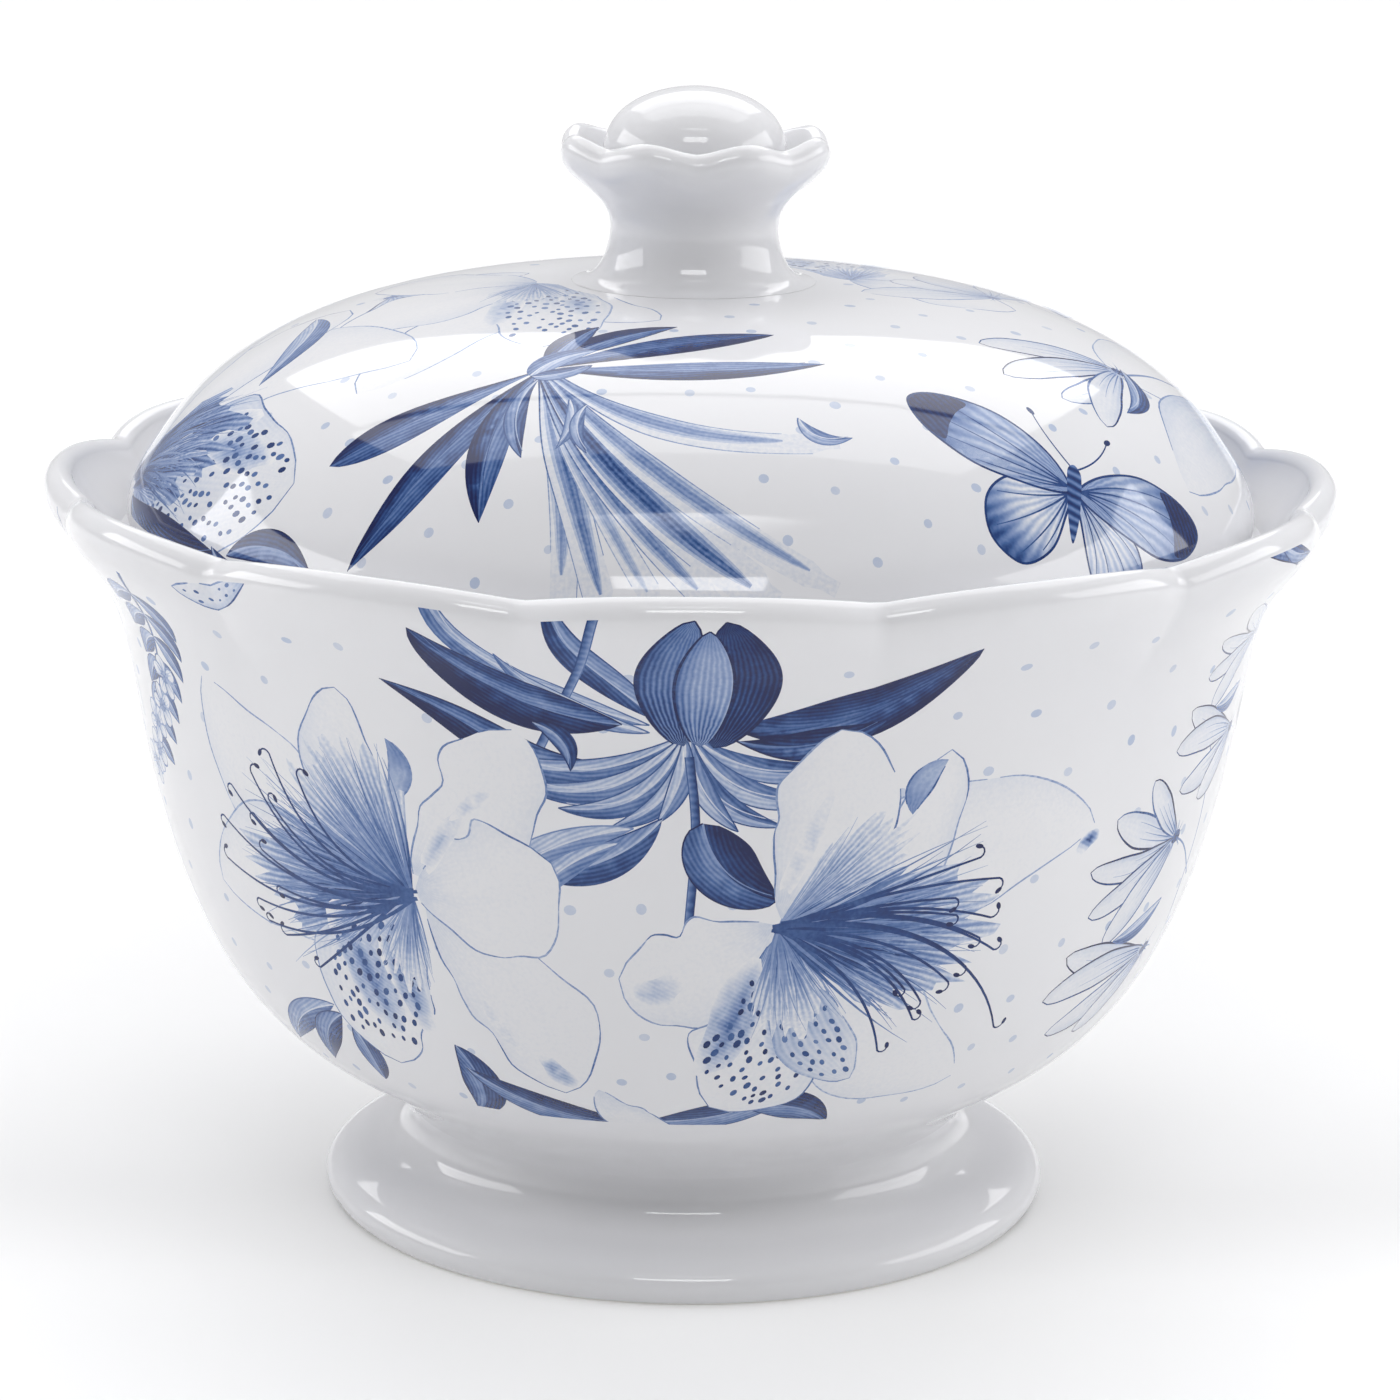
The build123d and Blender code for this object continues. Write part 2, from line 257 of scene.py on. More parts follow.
def revolved(profile):
    s_all = arc_lengths(profile)

    def point(theta, s):
        r, z = on_profile(profile, s_all, s)
        return np.stack([r * np.sin(theta), -r * np.cos(theta), z], -1)
    return point


def normals_of(point, theta, s, s_max):
    e, d = 1e-3, 0.03
    a = point(theta + e, s) - point(theta - e, s)
    b = point(theta, np.minimum(s + d, s_max)) - point(theta, np.maximum(s - d, 0))
    n = np.cross(a, b)
    ln = np.linalg.norm(n, axis=-1, keepdims=True)
    return n / np.maximum(ln, 1e-12)


def rows_for(profile, s_all, coarse=1.35, fine=0.16, per_radian=9.0):
    """Arc lengths of the mesh rows: closer together where the profile bends."""
    d = np.gradient(profile, s_all, axis=0)
    ang = np.unwrap(np.arctan2(d[:, 1], d[:, 0]))
    kappa = np.abs(np.gradient(ang, s_all))
    k = np.ones(7) / 7
    kappa = np.convolve(kappa, k, "same")
    density = np.clip(per_radian * kappa, 1 / coarse, 1 / fine)
    cum = np.concatenate([[0], np.cumsum((density[1:] + density[:-1]) / 2 * np.diff(s_all))])
    n = int(round(cum[-1]))
    return np.interp(np.linspace(0, cum[-1], n + 1), cum, s_all)
LID_PRINT_HI = float(LID_S[np.where((LID[:, 0] > 54.0) & (LID[:, 1] <= 70.4))[0][0]])
LID_PRINT_LO = 13.2

# ------------------------------------------------------------------ meshes


def tri_mesh(name, verts_mm, faces, normals=None, materials=(), face_material=None):
    me = bpy.data.meshes.new(name)
    v = np.asarray(verts_mm, float) * MM
    me.from_pydata([tuple(p) for p in v], [], [tuple(int(i) for i in f) for f in faces])
    me.validate(clean_customdata=False)
    me.update()
    for p in me.polygons:
        p.use_smooth = True
    for m in materials:
        me.materials.append(m)
    if face_material is not None:
        me.polygons.foreach_set("material_index", np.asarray(face_material, np.int32))
    if normals is not None:
        me.normals_split_custom_set_from_vertices([tuple(n) for n in normals])
    ob = bpy.data.objects.new(name, me)
    bpy.context.scene.collection.objects.link(ob)
    return ob


def ring_mesh(name, point, profile, columns, materials, pick=None, **rows):
    """A closed surface of revolution (or nearly so) from a profile that starts and ends on the axis, or closes on itself."""
    s_all = arc_lengths(profile)
    s = rows_for(profile, s_all, **rows)
    on_axis = profile[0][0] < 1e-9
    theta = np.linspace(-math.pi, math.pi, columns, endpoint=False) + math.pi / columns
    s_max = s_all[-1]
    verts, norms, faces, mids = [], [], [], []
    inner = s[1:-1] if on_axis else s[:-1]
    T, S = np.meshgrid(theta, inner)
    P = point(T, S)
    N = normals_of(point, T, np.minimum(S, s_max - 0.05) if on_axis else np.where(S < 0.3, 0.3, S), s_max)
    n = columns
    verts = P.reshape(-1, 3)
    norms = N.reshape(-1, 3)
    rows_n = len(inner)
    for i in range(rows_n - 1 if on_axis else rows_n):
        i2 = (i + 1) % rows_n
        for j in range(n):
            j2 = (j + 1) % n
            faces.append((i * n + j, i * n + j2, i2 * n + j2, i2 * n + j))
            mids.append(i)
    if on_axis:
        a = len(verts)
        zero = np.zeros(1)
        pole = [point(zero, zero)[0], point(zero, zero + s_max)[0]]
        verts = np.vstack([verts, pole])
        pn = [[0, 0, -1.0], [0, 0, 1.0]] if pole[0][2] < pole[1][2] or True else None
        norms = np.vstack([norms, pn])
        for j in range(n):
            j2 = (j + 1) % n
            faces.append((a, j2, j))
            mids.append(0)
            faces.append((a + 1, (rows_n - 1) * n + j, (rows_n - 1) * n + j2))
            mids.append(rows_n - 1)
    verts = np.asarray(verts)
    # faces look outwards: the signed volume has to be positive
    vol = 0.0
    V = verts
    for f in faces[:: max(1, len(faces) // 4000)]:
        vol += np.dot(V[f[0]], np.cross(V[f[1]], V[f[2]]))
    total = 0.0
    for f in faces:
        for k in range(1, len(f) - 1):
            total += V[f[0]] @ np.cross(V[f[k]], V[f[k + 1]])
    if total < 0:
        faces = [tuple(reversed(f)) for f in faces]
    # normals agree with the faces
    f0 = np.array([f[:3] for f in faces])
    fn = np.cross(V[f0[:, 1]] - V[f0[:, 0]], V[f0[:, 2]] - V[f0[:, 0]])
    acc = np.zeros_like(V)
    for k in range(3):
        np.add.at(acc, f0[:, k], fn)
    flip = np.einsum("ij,ij->i", acc, norms) < 0
    norms = np.asarray(norms, float).copy()
    ring = np.arange(len(norms)) < rows_n * n
    if flip[ring].mean() > 0.5:
        norms[ring] *= -1
    norms[~ring & flip] *= -1
    fm = None
    if pick is not None:
        fm = [pick(V[list(f)].mean(0)) for f in faces]
    return tri_mesh(name, verts, faces, norms, materials, fm)


class Plan:
    """The flat plan of a decorated surface: mesh points, edges that have to be kept, and painted shapes."""

    def __init__(self):
        self.pts = []
        self.edges = []
        self.n = 0

    def add_points(self, p):
        p = np.asarray(p, float).reshape(-1, 2)
        self.pts.append(p)
        start = self.n
        self.n += len(p)
        return start

    def add_ring(self, p, closed=True):
        start = self.add_points(p)
        m = len(p)
        idx = np.arange(start, start + m)
        e = np.stack([idx, np.roll(idx, -1)], 1)
        self.edges.append(e if closed else e[:-1])


def ring_area(p):
    x, y = p[:, 0], p[:, 1]
    return 0.5 * float(np.sum(x * np.roll(y, -1) - np.roll(x, -1) * y))


def clip_band(p, y0, y1, x0=None, x1=None):
    """Clips a closed ring to a band, and to a range of x."""
    def cut(poly, axis, value, keep_greater):
        out = []
        m = len(poly)
        for i in range(m):
            a, b = poly[i], poly[(i + 1) % m]
            ia = (a[axis] >= value) == keep_greater or a[axis] == value
            ib = (b[axis] >= value) == keep_greater or b[axis] == value
            if ia:
                out.append(a)
            if ia != ib:
                t = (value - a[axis]) / (b[axis] - a[axis])
                c = a + (b - a) * t
                c[axis] = value
                out.append(c)
        return np.array(out) if len(out) >= 3 else np.zeros((0, 2))
    q = np.asarray(p, float)
    for axis, value, keep in ((1, y0, True), (1, y1, False), (0, x0, True), (0, x1, False)):
        if value is not None and len(q):
            lo, hi = q[:, axis].min(), q[:, axis].max()
            if (keep and lo < value) or (not keep and hi > value):
                q = cut(q, axis, value, keep)
    return q


def winding(px, py, ring):
    """Winding number of many points about one ring."""
    x0, y0 = ring[:, 0], ring[:, 1]
    x1, y1 = np.roll(x0, -1), np.roll(y0, -1)
    w = np.zeros(len(px), int)
    for a, b, c, d in zip(x0, y0, x1, y1):
        left = (c - a) * (py - b) - (px - a) * (d - b)
        w += ((b <= py) & (d > py) & (left > 0)).astype(int)
        w -= ((b > py) & (d <= py) & (left < 0)).astype(int)
    return w


def triangulate(plan, shapes, steiner, min_gap=0.28):
    """Delaunay triangles of the plan, with every shape's outline kept. Returns points, triangles and the top shape of each triangle (-1 for none)."""
    from mathutils.kdtree import KDTree
    outline = [r for s in shapes for r in s.rings]
    total = sum(len(r) for r in outline)
    keep = np.ones(len(steiner), bool)
    if total:
        kd = KDTree(total)
        i = 0
        for r in outline:
            for q in r:
                kd.insert((q[0], q[1], 0), i)
                i += 1
        kd.balance()
        for j, q in enumerate(steiner):
            _, _, dist = kd.find((q[0], q[1], 0))
            if dist < min_gap:
                keep[j] = False
    plan.add_points(np.asarray(steiner)[keep])
    for r in outline:
        plan.add_ring(r)
    pts = np.vstack(plan.pts)
    edges = np.vstack(plan.edges) if plan.edges else np.zeros((0, 2), int)
    out = delaunay_2d_cdt([Vector(p) for p in pts], [tuple(int(k) for k in e) for e in edges], [], 0, 2e-4, False)
    v = np.array([tuple(p) for p in out[0]], float)
    f = np.array([tuple(t) for t in out[2]], int)
    c = v[f].mean(1)
    order = np.argsort(c[:, 0])
    cx, cy = c[order, 0], c[order, 1]
    owner = np.full(len(f), -1)
    for k, s in enumerate(shapes):
        for r in s.rings:
            a, b = np.searchsorted(cx, r[:, 0].min()), np.searchsorted(cx, r[:, 0].max())
            if b <= a:
                continue
            sub = np.arange(a, b)
            m = (cy[sub] >= r[:, 1].min()) & (cy[sub] <= r[:, 1].max())
            sub = sub[m]
            if len(sub) == 0:
                continue
            inside = winding(cx[sub], cy[sub], r) != 0
            owner[order[sub[inside]]] = k
    return v, f, owner


def corner_attributes(me, f_xy, owner, shapes):
    """Writes the ink's strength and its hatching onto the face corners."""
    n = len(f_xy)
    tone = np.zeros((n, 3)); hatch = np.zeros((n, 3)); line_ = np.zeros((n, 3)); grain = np.zeros((n, 3))
    for k, s in enumerate(shapes):
        idx = np.where(owner == k)[0]
        if len(idx) == 0:
            continue
        xy = f_xy[idx].reshape(-1, 2)
        t, h, l, g = s.paint(xy[:, 0], xy[:, 1])
        tone[idx] = np.broadcast_to(t, len(xy)).reshape(-1, 3)
        hatch[idx] = np.broadcast_to(h, len(xy)).reshape(-1, 3)
        line_[idx] = np.broadcast_to(l, len(xy)).reshape(-1, 3)
        grain[idx] = np.broadcast_to(g, len(xy)).reshape(-1, 3)
    for name, values in (("ink", tone), ("hatch", hatch), ("hatch_line", line_), ("grain", grain)):
        at = me.attributes.new(name, "FLOAT", "CORNER")
        at.data.foreach_set("value", values.astype(np.float32).ravel())

# ------------------------------------------------------------------ printed decoration
# A general blue-and-white garden print: lilies, lance leaves, buds, line flowers, a butterfly
# and a field of pale dots. Everything is laid out in millimetres on the flat plan of its surface.


class Shape:
    __slots__ = ("rings", "paint")

    def __init__(self, ring, paint):
        self.rings = [np.asarray(ring, float)]
        self.paint = paint

    def moved(self, dx=0.0, dy=0.0, turn=0.0, mirror=False, scale=1.0):
        c, s = math.cos(turn), math.sin(turn)
        k = -1.0 if mirror else 1.0

        def fwd(p):
            x, y = p[:, 0] * k * scale, p[:, 1] * scale
            return np.stack([x * c - y * s + dx, x * s + y * c + dy], 1)
        old = self.paint

        def paint(x, y):
            x, y = x - dx, y - dy
            return old((x * c + y * s) * k / scale, (-x * s + y * c) / scale)
        return Shape(fwd(self.rings[0]), paint)


def bow(p0, p1, bulge=0.0, sway=0.0, n=26):
    p0, p1 = np.array(p0, float), np.array(p1, float)
    d = p1 - p0
    side = np.array([-d[1], d[0]])
    t = np.linspace(0, 1, n)[:, None]
    return p0 + d * t + side * (bulge * 4 * t * (1 - t) + sway * np.sin(2 * math.pi * t))


def smooth_path(points, closed=False, per=8):
    p = np.array(points, float)
    n = len(p)
    out = []
    idx = range(n if closed else n - 1)
    for i in idx:
        a, b = p[i], p[(i + 1) % n]
        before = p[(i - 1) % n] if closed or i > 0 else a - (b - a)
        after = p[(i + 2) % n] if closed or i + 2 < n else b + (b - a)
        for j in range(per):
            t = j / per
            out.append(0.5 * (2 * a + (b - before) * t + (2 * before - 5 * a + 4 * b - after) * t * t + (-before + 3 * a - 3 * b + after) * t**3))
    if not closed:
        out.append(p[-1])
    return np.array(out)


def path_length(axis):
    return float(np.linalg.norm(np.diff(axis, axis=0), axis=1).sum())


def sides(axis, wl, wr):
    t = np.gradient(axis, axis=0)
    t /= np.maximum(np.linalg.norm(t, axis=1, keepdims=True), 1e-9)
    n = np.stack([-t[:, 1], t[:, 0]], 1)
    return axis + n * np.asarray(wl)[:, None], axis - n * np.asarray(wr)[:, None]


def local(axis, x, y):
    """How far along an axis (0..1) and how far to its left a point lies."""
    q = np.stack([x, y], 1)
    seg = axis[1:] - axis[:-1]
    l2 = np.maximum((seg**2).sum(1), 1e-12)
    rel = q[:, None] - axis[None, :-1]
    t = np.clip((rel * seg).sum(2) / l2, 0, 1)
    foot = axis[:-1] + seg * t[..., None]
    dd = ((q[:, None] - foot) ** 2).sum(2)
    k = dd.argmin(1)
    rows = np.arange(len(q))
    cross = seg[k, 0] * (q[:, 1] - axis[k, 1]) - seg[k, 1] * (q[:, 0] - axis[k, 0])
    return (k + t[rows, k]) / (len(axis) - 1), np.sqrt(dd[rows, k]) * np.sign(cross)


def stroke(out, axis, w0=0.2, w1=None, tone=0.6, tone1=None, grain=0.15, belly=0.0):
    """A drawn line: a thin band of ink along a path, w0 wide at its start and w1 at its end."""
    axis = np.asarray(axis, float)
    n = len(axis)
    w1 = w0 if w1 is None else w1
    tone1 = tone if tone1 is None else tone1
    u = np.linspace(0, 1, n)
    w = (w0 + (w1 - w0) * u + belly * np.sin(math.pi * u)) / 2
    l, r = sides(axis, w, w)

    def paint(x, y):
        uu, _ = local(axis, x, y)
        return tone + (tone1 - tone) * uu, 0.0, 0.0, grain
    out.append(Shape(np.vstack([l, r[::-1]]), paint))


def ellipse(out, c, a, b, turn=0.0, tone=0.6, grain=0.1, n=10):
    t = 2 * math.pi * np.arange(n) / n
    x, y = a * np.cos(t), b * np.sin(t)
    cs, sn = math.cos(turn), math.sin(turn)
    out.append(Shape(np.stack([c[0] + x * cs - y * sn, c[1] + x * sn + y * cs], 1), lambda px, py: (tone, 0.0, 0.0, grain)))


def leaf(out, p0, p1, bulge=0.12, width=2.6, dark=0.86, light=0.56, p=0.9, q=0.9, sway=0.0, rib=True, edge=None, veins=0.075, n=26):
    """A lance leaf in two halves, one in shade and one in light, finely lined along its length."""
    axis = bow(p0, p1, bulge, sway, n)
    length = path_length(axis)
    u = np.linspace(0, 1, n)
    w = width * np.abs(np.sin(math.pi * u**p)) ** q
    w[0] = w[-1] = 0
    l, r = sides(axis, w, w * 0.88)

    def half(level, gleam):
        def paint(x, y):
            uu, d = local(axis, x, y)
            ww = np.maximum(np.interp(uu, u, w), 0.15)
            v = np.clip(np.abs(d) / ww, 0, 1)
            t = level * (0.93 + 0.17 * v) - gleam * level * np.exp(-((v - 0.2) / 0.2) ** 2) * np.abs(np.sin(math.pi * np.clip(uu, 0, 1))) ** 0.6
            t = t + 0.05 * np.sin(8 * v + 4 * uu + length) + 0.12 * (uu - 0.5)
            return t, veins, np.abs(d) / 0.42 + length * uu / 5.0, 0.16
        return paint
    out.append(Shape(np.vstack([axis, l[-2:0:-1]]), half(dark, 0.14)))
    out.append(Shape(np.vstack([axis, r[-2:0:-1]]), half(light, 0.38)))
    if rib:
        stroke(out, bow(p0, np.array(p0) + (np.array(p1) - np.array(p0)) * 0.93, bulge, sway, n), 0.2, 0.07, max(0.1, light - 0.34), max(0.15, light - 0.2))
    e = edge if edge else min(1.0, light + 0.28)
    stroke(out, r, 0.15, 0.12, e, e)
    if edge:
        stroke(out, l, 0.14, 0.12, edge, edge)


def petal(out, p0, p1, bulge=0.0, width=5.0, p=1.15, q=0.62, ruffle=0.05, seed=0, fill=0.0, base=0.45, base_len=0.3, shade=0.1,
          edge=0.34, edge_w=0.17, veins=0.02, sway=0.0, side=1, n=30, spacing=0.62, tip=0.0, broken=0.45):
    """A flower petal: nearly white, shaded at its root and along one side, with a fine broken outline."""
    rng = np.random.default_rng(seed + 1000)
    axis = bow(p0, p1, bulge, sway, n)
    u = np.linspace(0, 1, n)
    shape = np.abs(np.sin(math.pi * u**p)) ** q
    shape[0] = shape[-1] = 0

    def wave():
        a = rng.uniform(0, 2 * math.pi, 3)
        return 1 + ruffle * (1.3 * np.sin(2.3 * math.pi * u + a[0]) + 0.75 * np.sin(5.2 * math.pi * u + a[1]) + 0.14 * np.sin(12 * math.pi * u + a[2]))
    wl, wr = width * shape * wave(), width * shape * wave()
    l, r = sides(axis, wl, wr)
    ring = np.vstack([l, r[-2:0:-1]])

    def paint(x, y):
        uu, d = local(axis, x, y)
        ww = np.where(d > 0, np.interp(uu, u, wl), np.interp(uu, u, wr))
        v = np.clip(d / np.maximum(ww, 0.2), -1, 1)
        t = fill + base * np.exp(-((uu / base_len) ** 1.4)) * (0.85 + 0.22 * np.sin(11 * v + seed)) * (1 - 0.25 * np.abs(v))
        t = t + shade * np.clip(side * v, 0, 1) ** 2.2 * np.sin(math.pi * np.clip(uu, 0, 1)) ** 0.5
        t = t + tip * np.clip((uu - 0.72) / 0.28, 0, 1) ** 1.5
        t = t + 0.35 * shade * np.exp(-((v + 0.15 * side) / 0.14) ** 2) * (1 - uu)
        h = veins * (0.15 + 0.85 * np.exp(-uu / 0.4)) * (0.2 + 2.2 * np.minimum(t / 0.3, 1))
        return t, h, v * width / spacing, 0.06 + 0.1 * np.minimum(t / 0.3, 1)
    out.append(Shape(ring, paint))
    if edge > 0:
        for line_, sgn in ((l, 1), (r, -1)):
            # the outline comes and goes
            a = int(rng.uniform(0, 3))
            while a < n - 2:
                b = min(n, a + int(rng.uniform(5, 12) / max(broken, 0.05) * 0.5) + 2)
                lvl = min(1.0, edge * rng.uniform(0.8, 1.5))
                stroke(out, line_[a:b], edge_w * 0.6, edge_w * 0.6, lvl, lvl, grain=0.5, belly=edge_w * 0.6)
                a = b - 1 if rng.random() > broken * 0.5 else b + int(rng.uniform(0, 2))
    return axis, u, wl, wr


def speckle(out, info, count, u0=0.25, u1=0.8, v0=-0.75, v1=0.75, size=0.34, tone=(0.45, 0.8), seed=0):
    """Spots of ink in rows along a petal."""
    rng = np.random.default_rng(seed + 50)
    axis, u, wl, wr = info
    t = np.gradient(axis, axis=0)
    t /= np.linalg.norm(t, axis=1, keepdims=True)
    placed = []
    tries = 0
    while len(placed) < count and tries < count * 12:
        tries += 1
        uu = rng.uniform(u0, u1); v = rng.uniform(v0, v1)
        k = min(len(axis) - 1, int(uu * (len(axis) - 1)))
        n = np.array([-t[k][1], t[k][0]])
        w = wl[k] if v > 0 else wr[k]
        c = axis[k] + n * w * v
        if any(abs(c[0] - o[0]) < 1.0 and abs(c[1] - o[1]) < 1.0 and math.hypot(*(c - o)) < 0.98 for o in placed):
            continue
        placed.append(c)
        s = size * rng.uniform(0.75, 1.3)
        ellipse(out, c, s * 1.25, s * 0.8, math.atan2(t[k][1], t[k][0]) + rng.uniform(-0.3, 0.3), rng.uniform(*tone), n=9)


def throat(out, c, angles, reach, count, seed=0, tone=(0.35, 0.72), width=0.3, start=0.6):
    """Fine strokes running out from a flower's throat."""
    rng = np.random.default_rng(seed + 77)
    c = np.array(c, float)
    for i in range(count):
        a = math.radians(rng.uniform(*angles))
        d = np.array([math.cos(a), math.sin(a)])
        r0, r1 = rng.uniform(0.1, start), rng.uniform(0.45, 1.0) * reach
        t = rng.uniform(*tone)
        stroke(out, bow(c + d * r0, c + d * (r0 + r1), rng.uniform(-0.06, 0.06), 0, 9), width * rng.uniform(0.6, 1.2), 0.04, t, t * 0.55)


def stamens(out, c, tips, seed=0, tone=0.7, width=0.34, anther=1.0):
    """Long curved threads that hook up a little at their ends."""
    rng = np.random.default_rng(seed + 9)
    c = np.array(c, float)
    for tx, ty, b in tips:
        axis = bow(c + rng.uniform(-0.6, 0.6, 2), (tx, ty), b, 0, 22)
        d = axis[-1] - axis[-2]
        a = math.atan2(d[1], d[0])
        k = rng.choice([-1, 1]) * rng.uniform(0.45, 0.75)
        q = axis[-1]
        hook = []
        for i in range(5):
            a += k
            q = q + 0.32 * np.array([math.cos(a), math.sin(a)])
            hook.append(q)
        axis = np.vstack([axis, hook])
        stroke(out, axis, width * 1.35, width * 0.55, tone * 0.85, min(1, tone + 0.06), belly=0.04)
        if anther > 0:
            ellipse(out, axis[-1], 0.42 * anther, 0.24 * anther, a, min(1, tone + 0.2), n=10)


def fan(out, c, a0, a1, reach, tone=0.6, streaks=26, seed=0, fall=0.55):
    """A wash of ink that runs out from a throat in streaks and fades."""
    rng = np.random.default_rng(seed + 400)
    a0, a1 = math.radians(a0), math.radians(a1)
    m = 28
    ang = np.linspace(a0, a1, m)
    rr = reach * (0.72 + 0.28 * rng.random(m)) * (0.55 + 0.45 * np.sin(math.pi * np.linspace(0.04, 0.96, m)))
    ring = np.vstack([[c], np.stack([c[0] + rr * np.cos(ang), c[1] + rr * np.sin(ang)], 1)])
    ph = rng.uniform(0, 6.28, 3)

    def paint(x, y):
        dx, dy = x - c[0], y - c[1]
        r = np.hypot(dx, dy)
        a = np.arctan2(dy, dx)
        a = np.where(a < a0 - 0.3, a + 2 * math.pi, a)
        f = np.clip((a - a0) / (a1 - a0), 0, 1)
        soft = np.sin(math.pi * (0.06 + 0.88 * f)) ** 0.6
        t = tone * np.exp(-((r / (fall * reach)) ** 2.0)) * soft
        t = t * (1 + 0.2 * np.sin(streaks * f * 0.9 + ph[0]) + 0.16 * np.sin(streaks * f * 2.1 + ph[1]))
        return t, 0.16 * np.minimum(t / 0.3, 1), f * streaks * 0.9, 0.25
    out.append(Shape(ring, paint))


def patch(out, c, a, b, turn, tone=0.34, seed=0):
    """A soft-edged wash."""
    rng = np.random.default_rng(seed + 500)
    m = 22
    t = 2 * math.pi * np.arange(m) / m
    k = 1 + 0.12 * np.sin(3 * t + rng.uniform(0, 6)) + 0.08 * np.sin(5 * t + rng.uniform(0, 6))
    cs, sn = math.cos(turn), math.sin(turn)
    x, y = a * k * np.cos(t), b * k * np.sin(t)

    def paint(px, py):
        dx, dy = px - c[0], py - c[1]
        u, v = (dx * cs + dy * sn) / a, (-dx * sn + dy * cs) / b
        d = np.hypot(u, v)
        lvl = tone * np.clip(1 - d, 0, 1) ** 0.8 * (1 + 0.3 * np.sin(v * 9 + 1.3))
        return lvl, 0.14 * lvl, dy / 0.5 + dx / 0.9, 0.1 + 0.3 * lvl
    out.append(Shape(np.stack([c[0] + x * cs - y * sn, c[1] + x * sn + y * cs], 1), paint))


def bud(out, p0, p1, bulge=0.0, width=3.6, seed=0, dark=0.8):
    """A fat bud of three overlapping petals with lengthwise stripes."""
    p0, p1 = np.array(p0, float), np.array(p1, float)
    d = p1 - p0
    s = np.array([-d[1], d[0]]) / np.linalg.norm(d)
    petal(out, p0 - s * width * 0.3, p1 - s * width * 0.3, bulge - 0.1, width * 0.86, 0.95, 0.62, 0.0, seed, dark * 0.92, 0.06, 0.3, 0.1, min(1, dark + 0.12), 0.22, 0.12, spacing=0.46, side=-1, broken=0.02)
    petal(out, p0 + s * width * 0.34, p1 + s * width * 0.3, bulge + 0.1, width * 0.7, 0.95, 0.6, 0.0, seed + 1, dark * 0.58, 0.2, 0.3, 0.3, dark, 0.22, 0.12, spacing=0.46, side=1, broken=0.02)
    petal(out, p0, p1 - d * 0.06, bulge, width * 0.62, 0.9, 0.6, 0.0, seed + 2, dark * 0.36, 0.34, 0.22, 0.34, min(1, dark + 0.05), 0.22, 0.1, spacing=0.5, side=1, tip=0.16, broken=0.02)


def stem(out, points, w=0.7, tone=0.62):
    axis = smooth_path(points)
    n = len(axis)
    ww = np.full(n, w / 2)
    l, r = sides(axis, ww, ww)

    def paint(x, y):
        u, d = local(axis, x, y)
        return tone - 0.25 + 0.4 * np.clip(d / w + 0.5, 0, 1), 0.05, u * path_length(axis) / 0.9, 0.15
    out.append(Shape(np.vstack([l, r[::-1]]), paint))
    stroke(out, l, 0.12, 0.12, min(1, tone + 0.2))
    stroke(out, r, 0.1, 0.1, tone)


def sketch_flower(out, c, tips, seed=0, tone=0.66, width=2.6, cup=True):
    """A small flower in line work with a little hatching."""
    c = np.array(c, float)
    rng = np.random.default_rng(seed + 31)
    for k, (tx, ty) in enumerate(tips):
        info = petal(out, c, (tx, ty), rng.uniform(-0.08, 0.08), width * rng.uniform(0.8, 1.1), 1.35, 0.55, 0.03, seed + k, 0.03, 0.3, 0.3, 0.12,
                     tone, 0.2, 0.05, side=rng.choice([-1, 1]), n=24, broken=0.12)
        axis, u, wl, wr = info
        for v in (-0.45, 0.0, 0.42):
            a, b = 2, int(rng.uniform(0.5, 0.82) * len(axis))
            l, r = sides(axis, wl * max(v, 0), wr * max(-v, 0))
            line_ = l if v >= 0 else r
            stroke(out, line_[a:b], 0.15, 0.05, tone * 0.85, tone * 0.4)
    if cup:
        ellipse(out, c, 0.9, 0.7, 0.3, min(1, tone + 0.1))
        throat(out, c, (0, 360), 2.4, 14, seed, (tone * 0.7, tone), 0.2, 0.4)


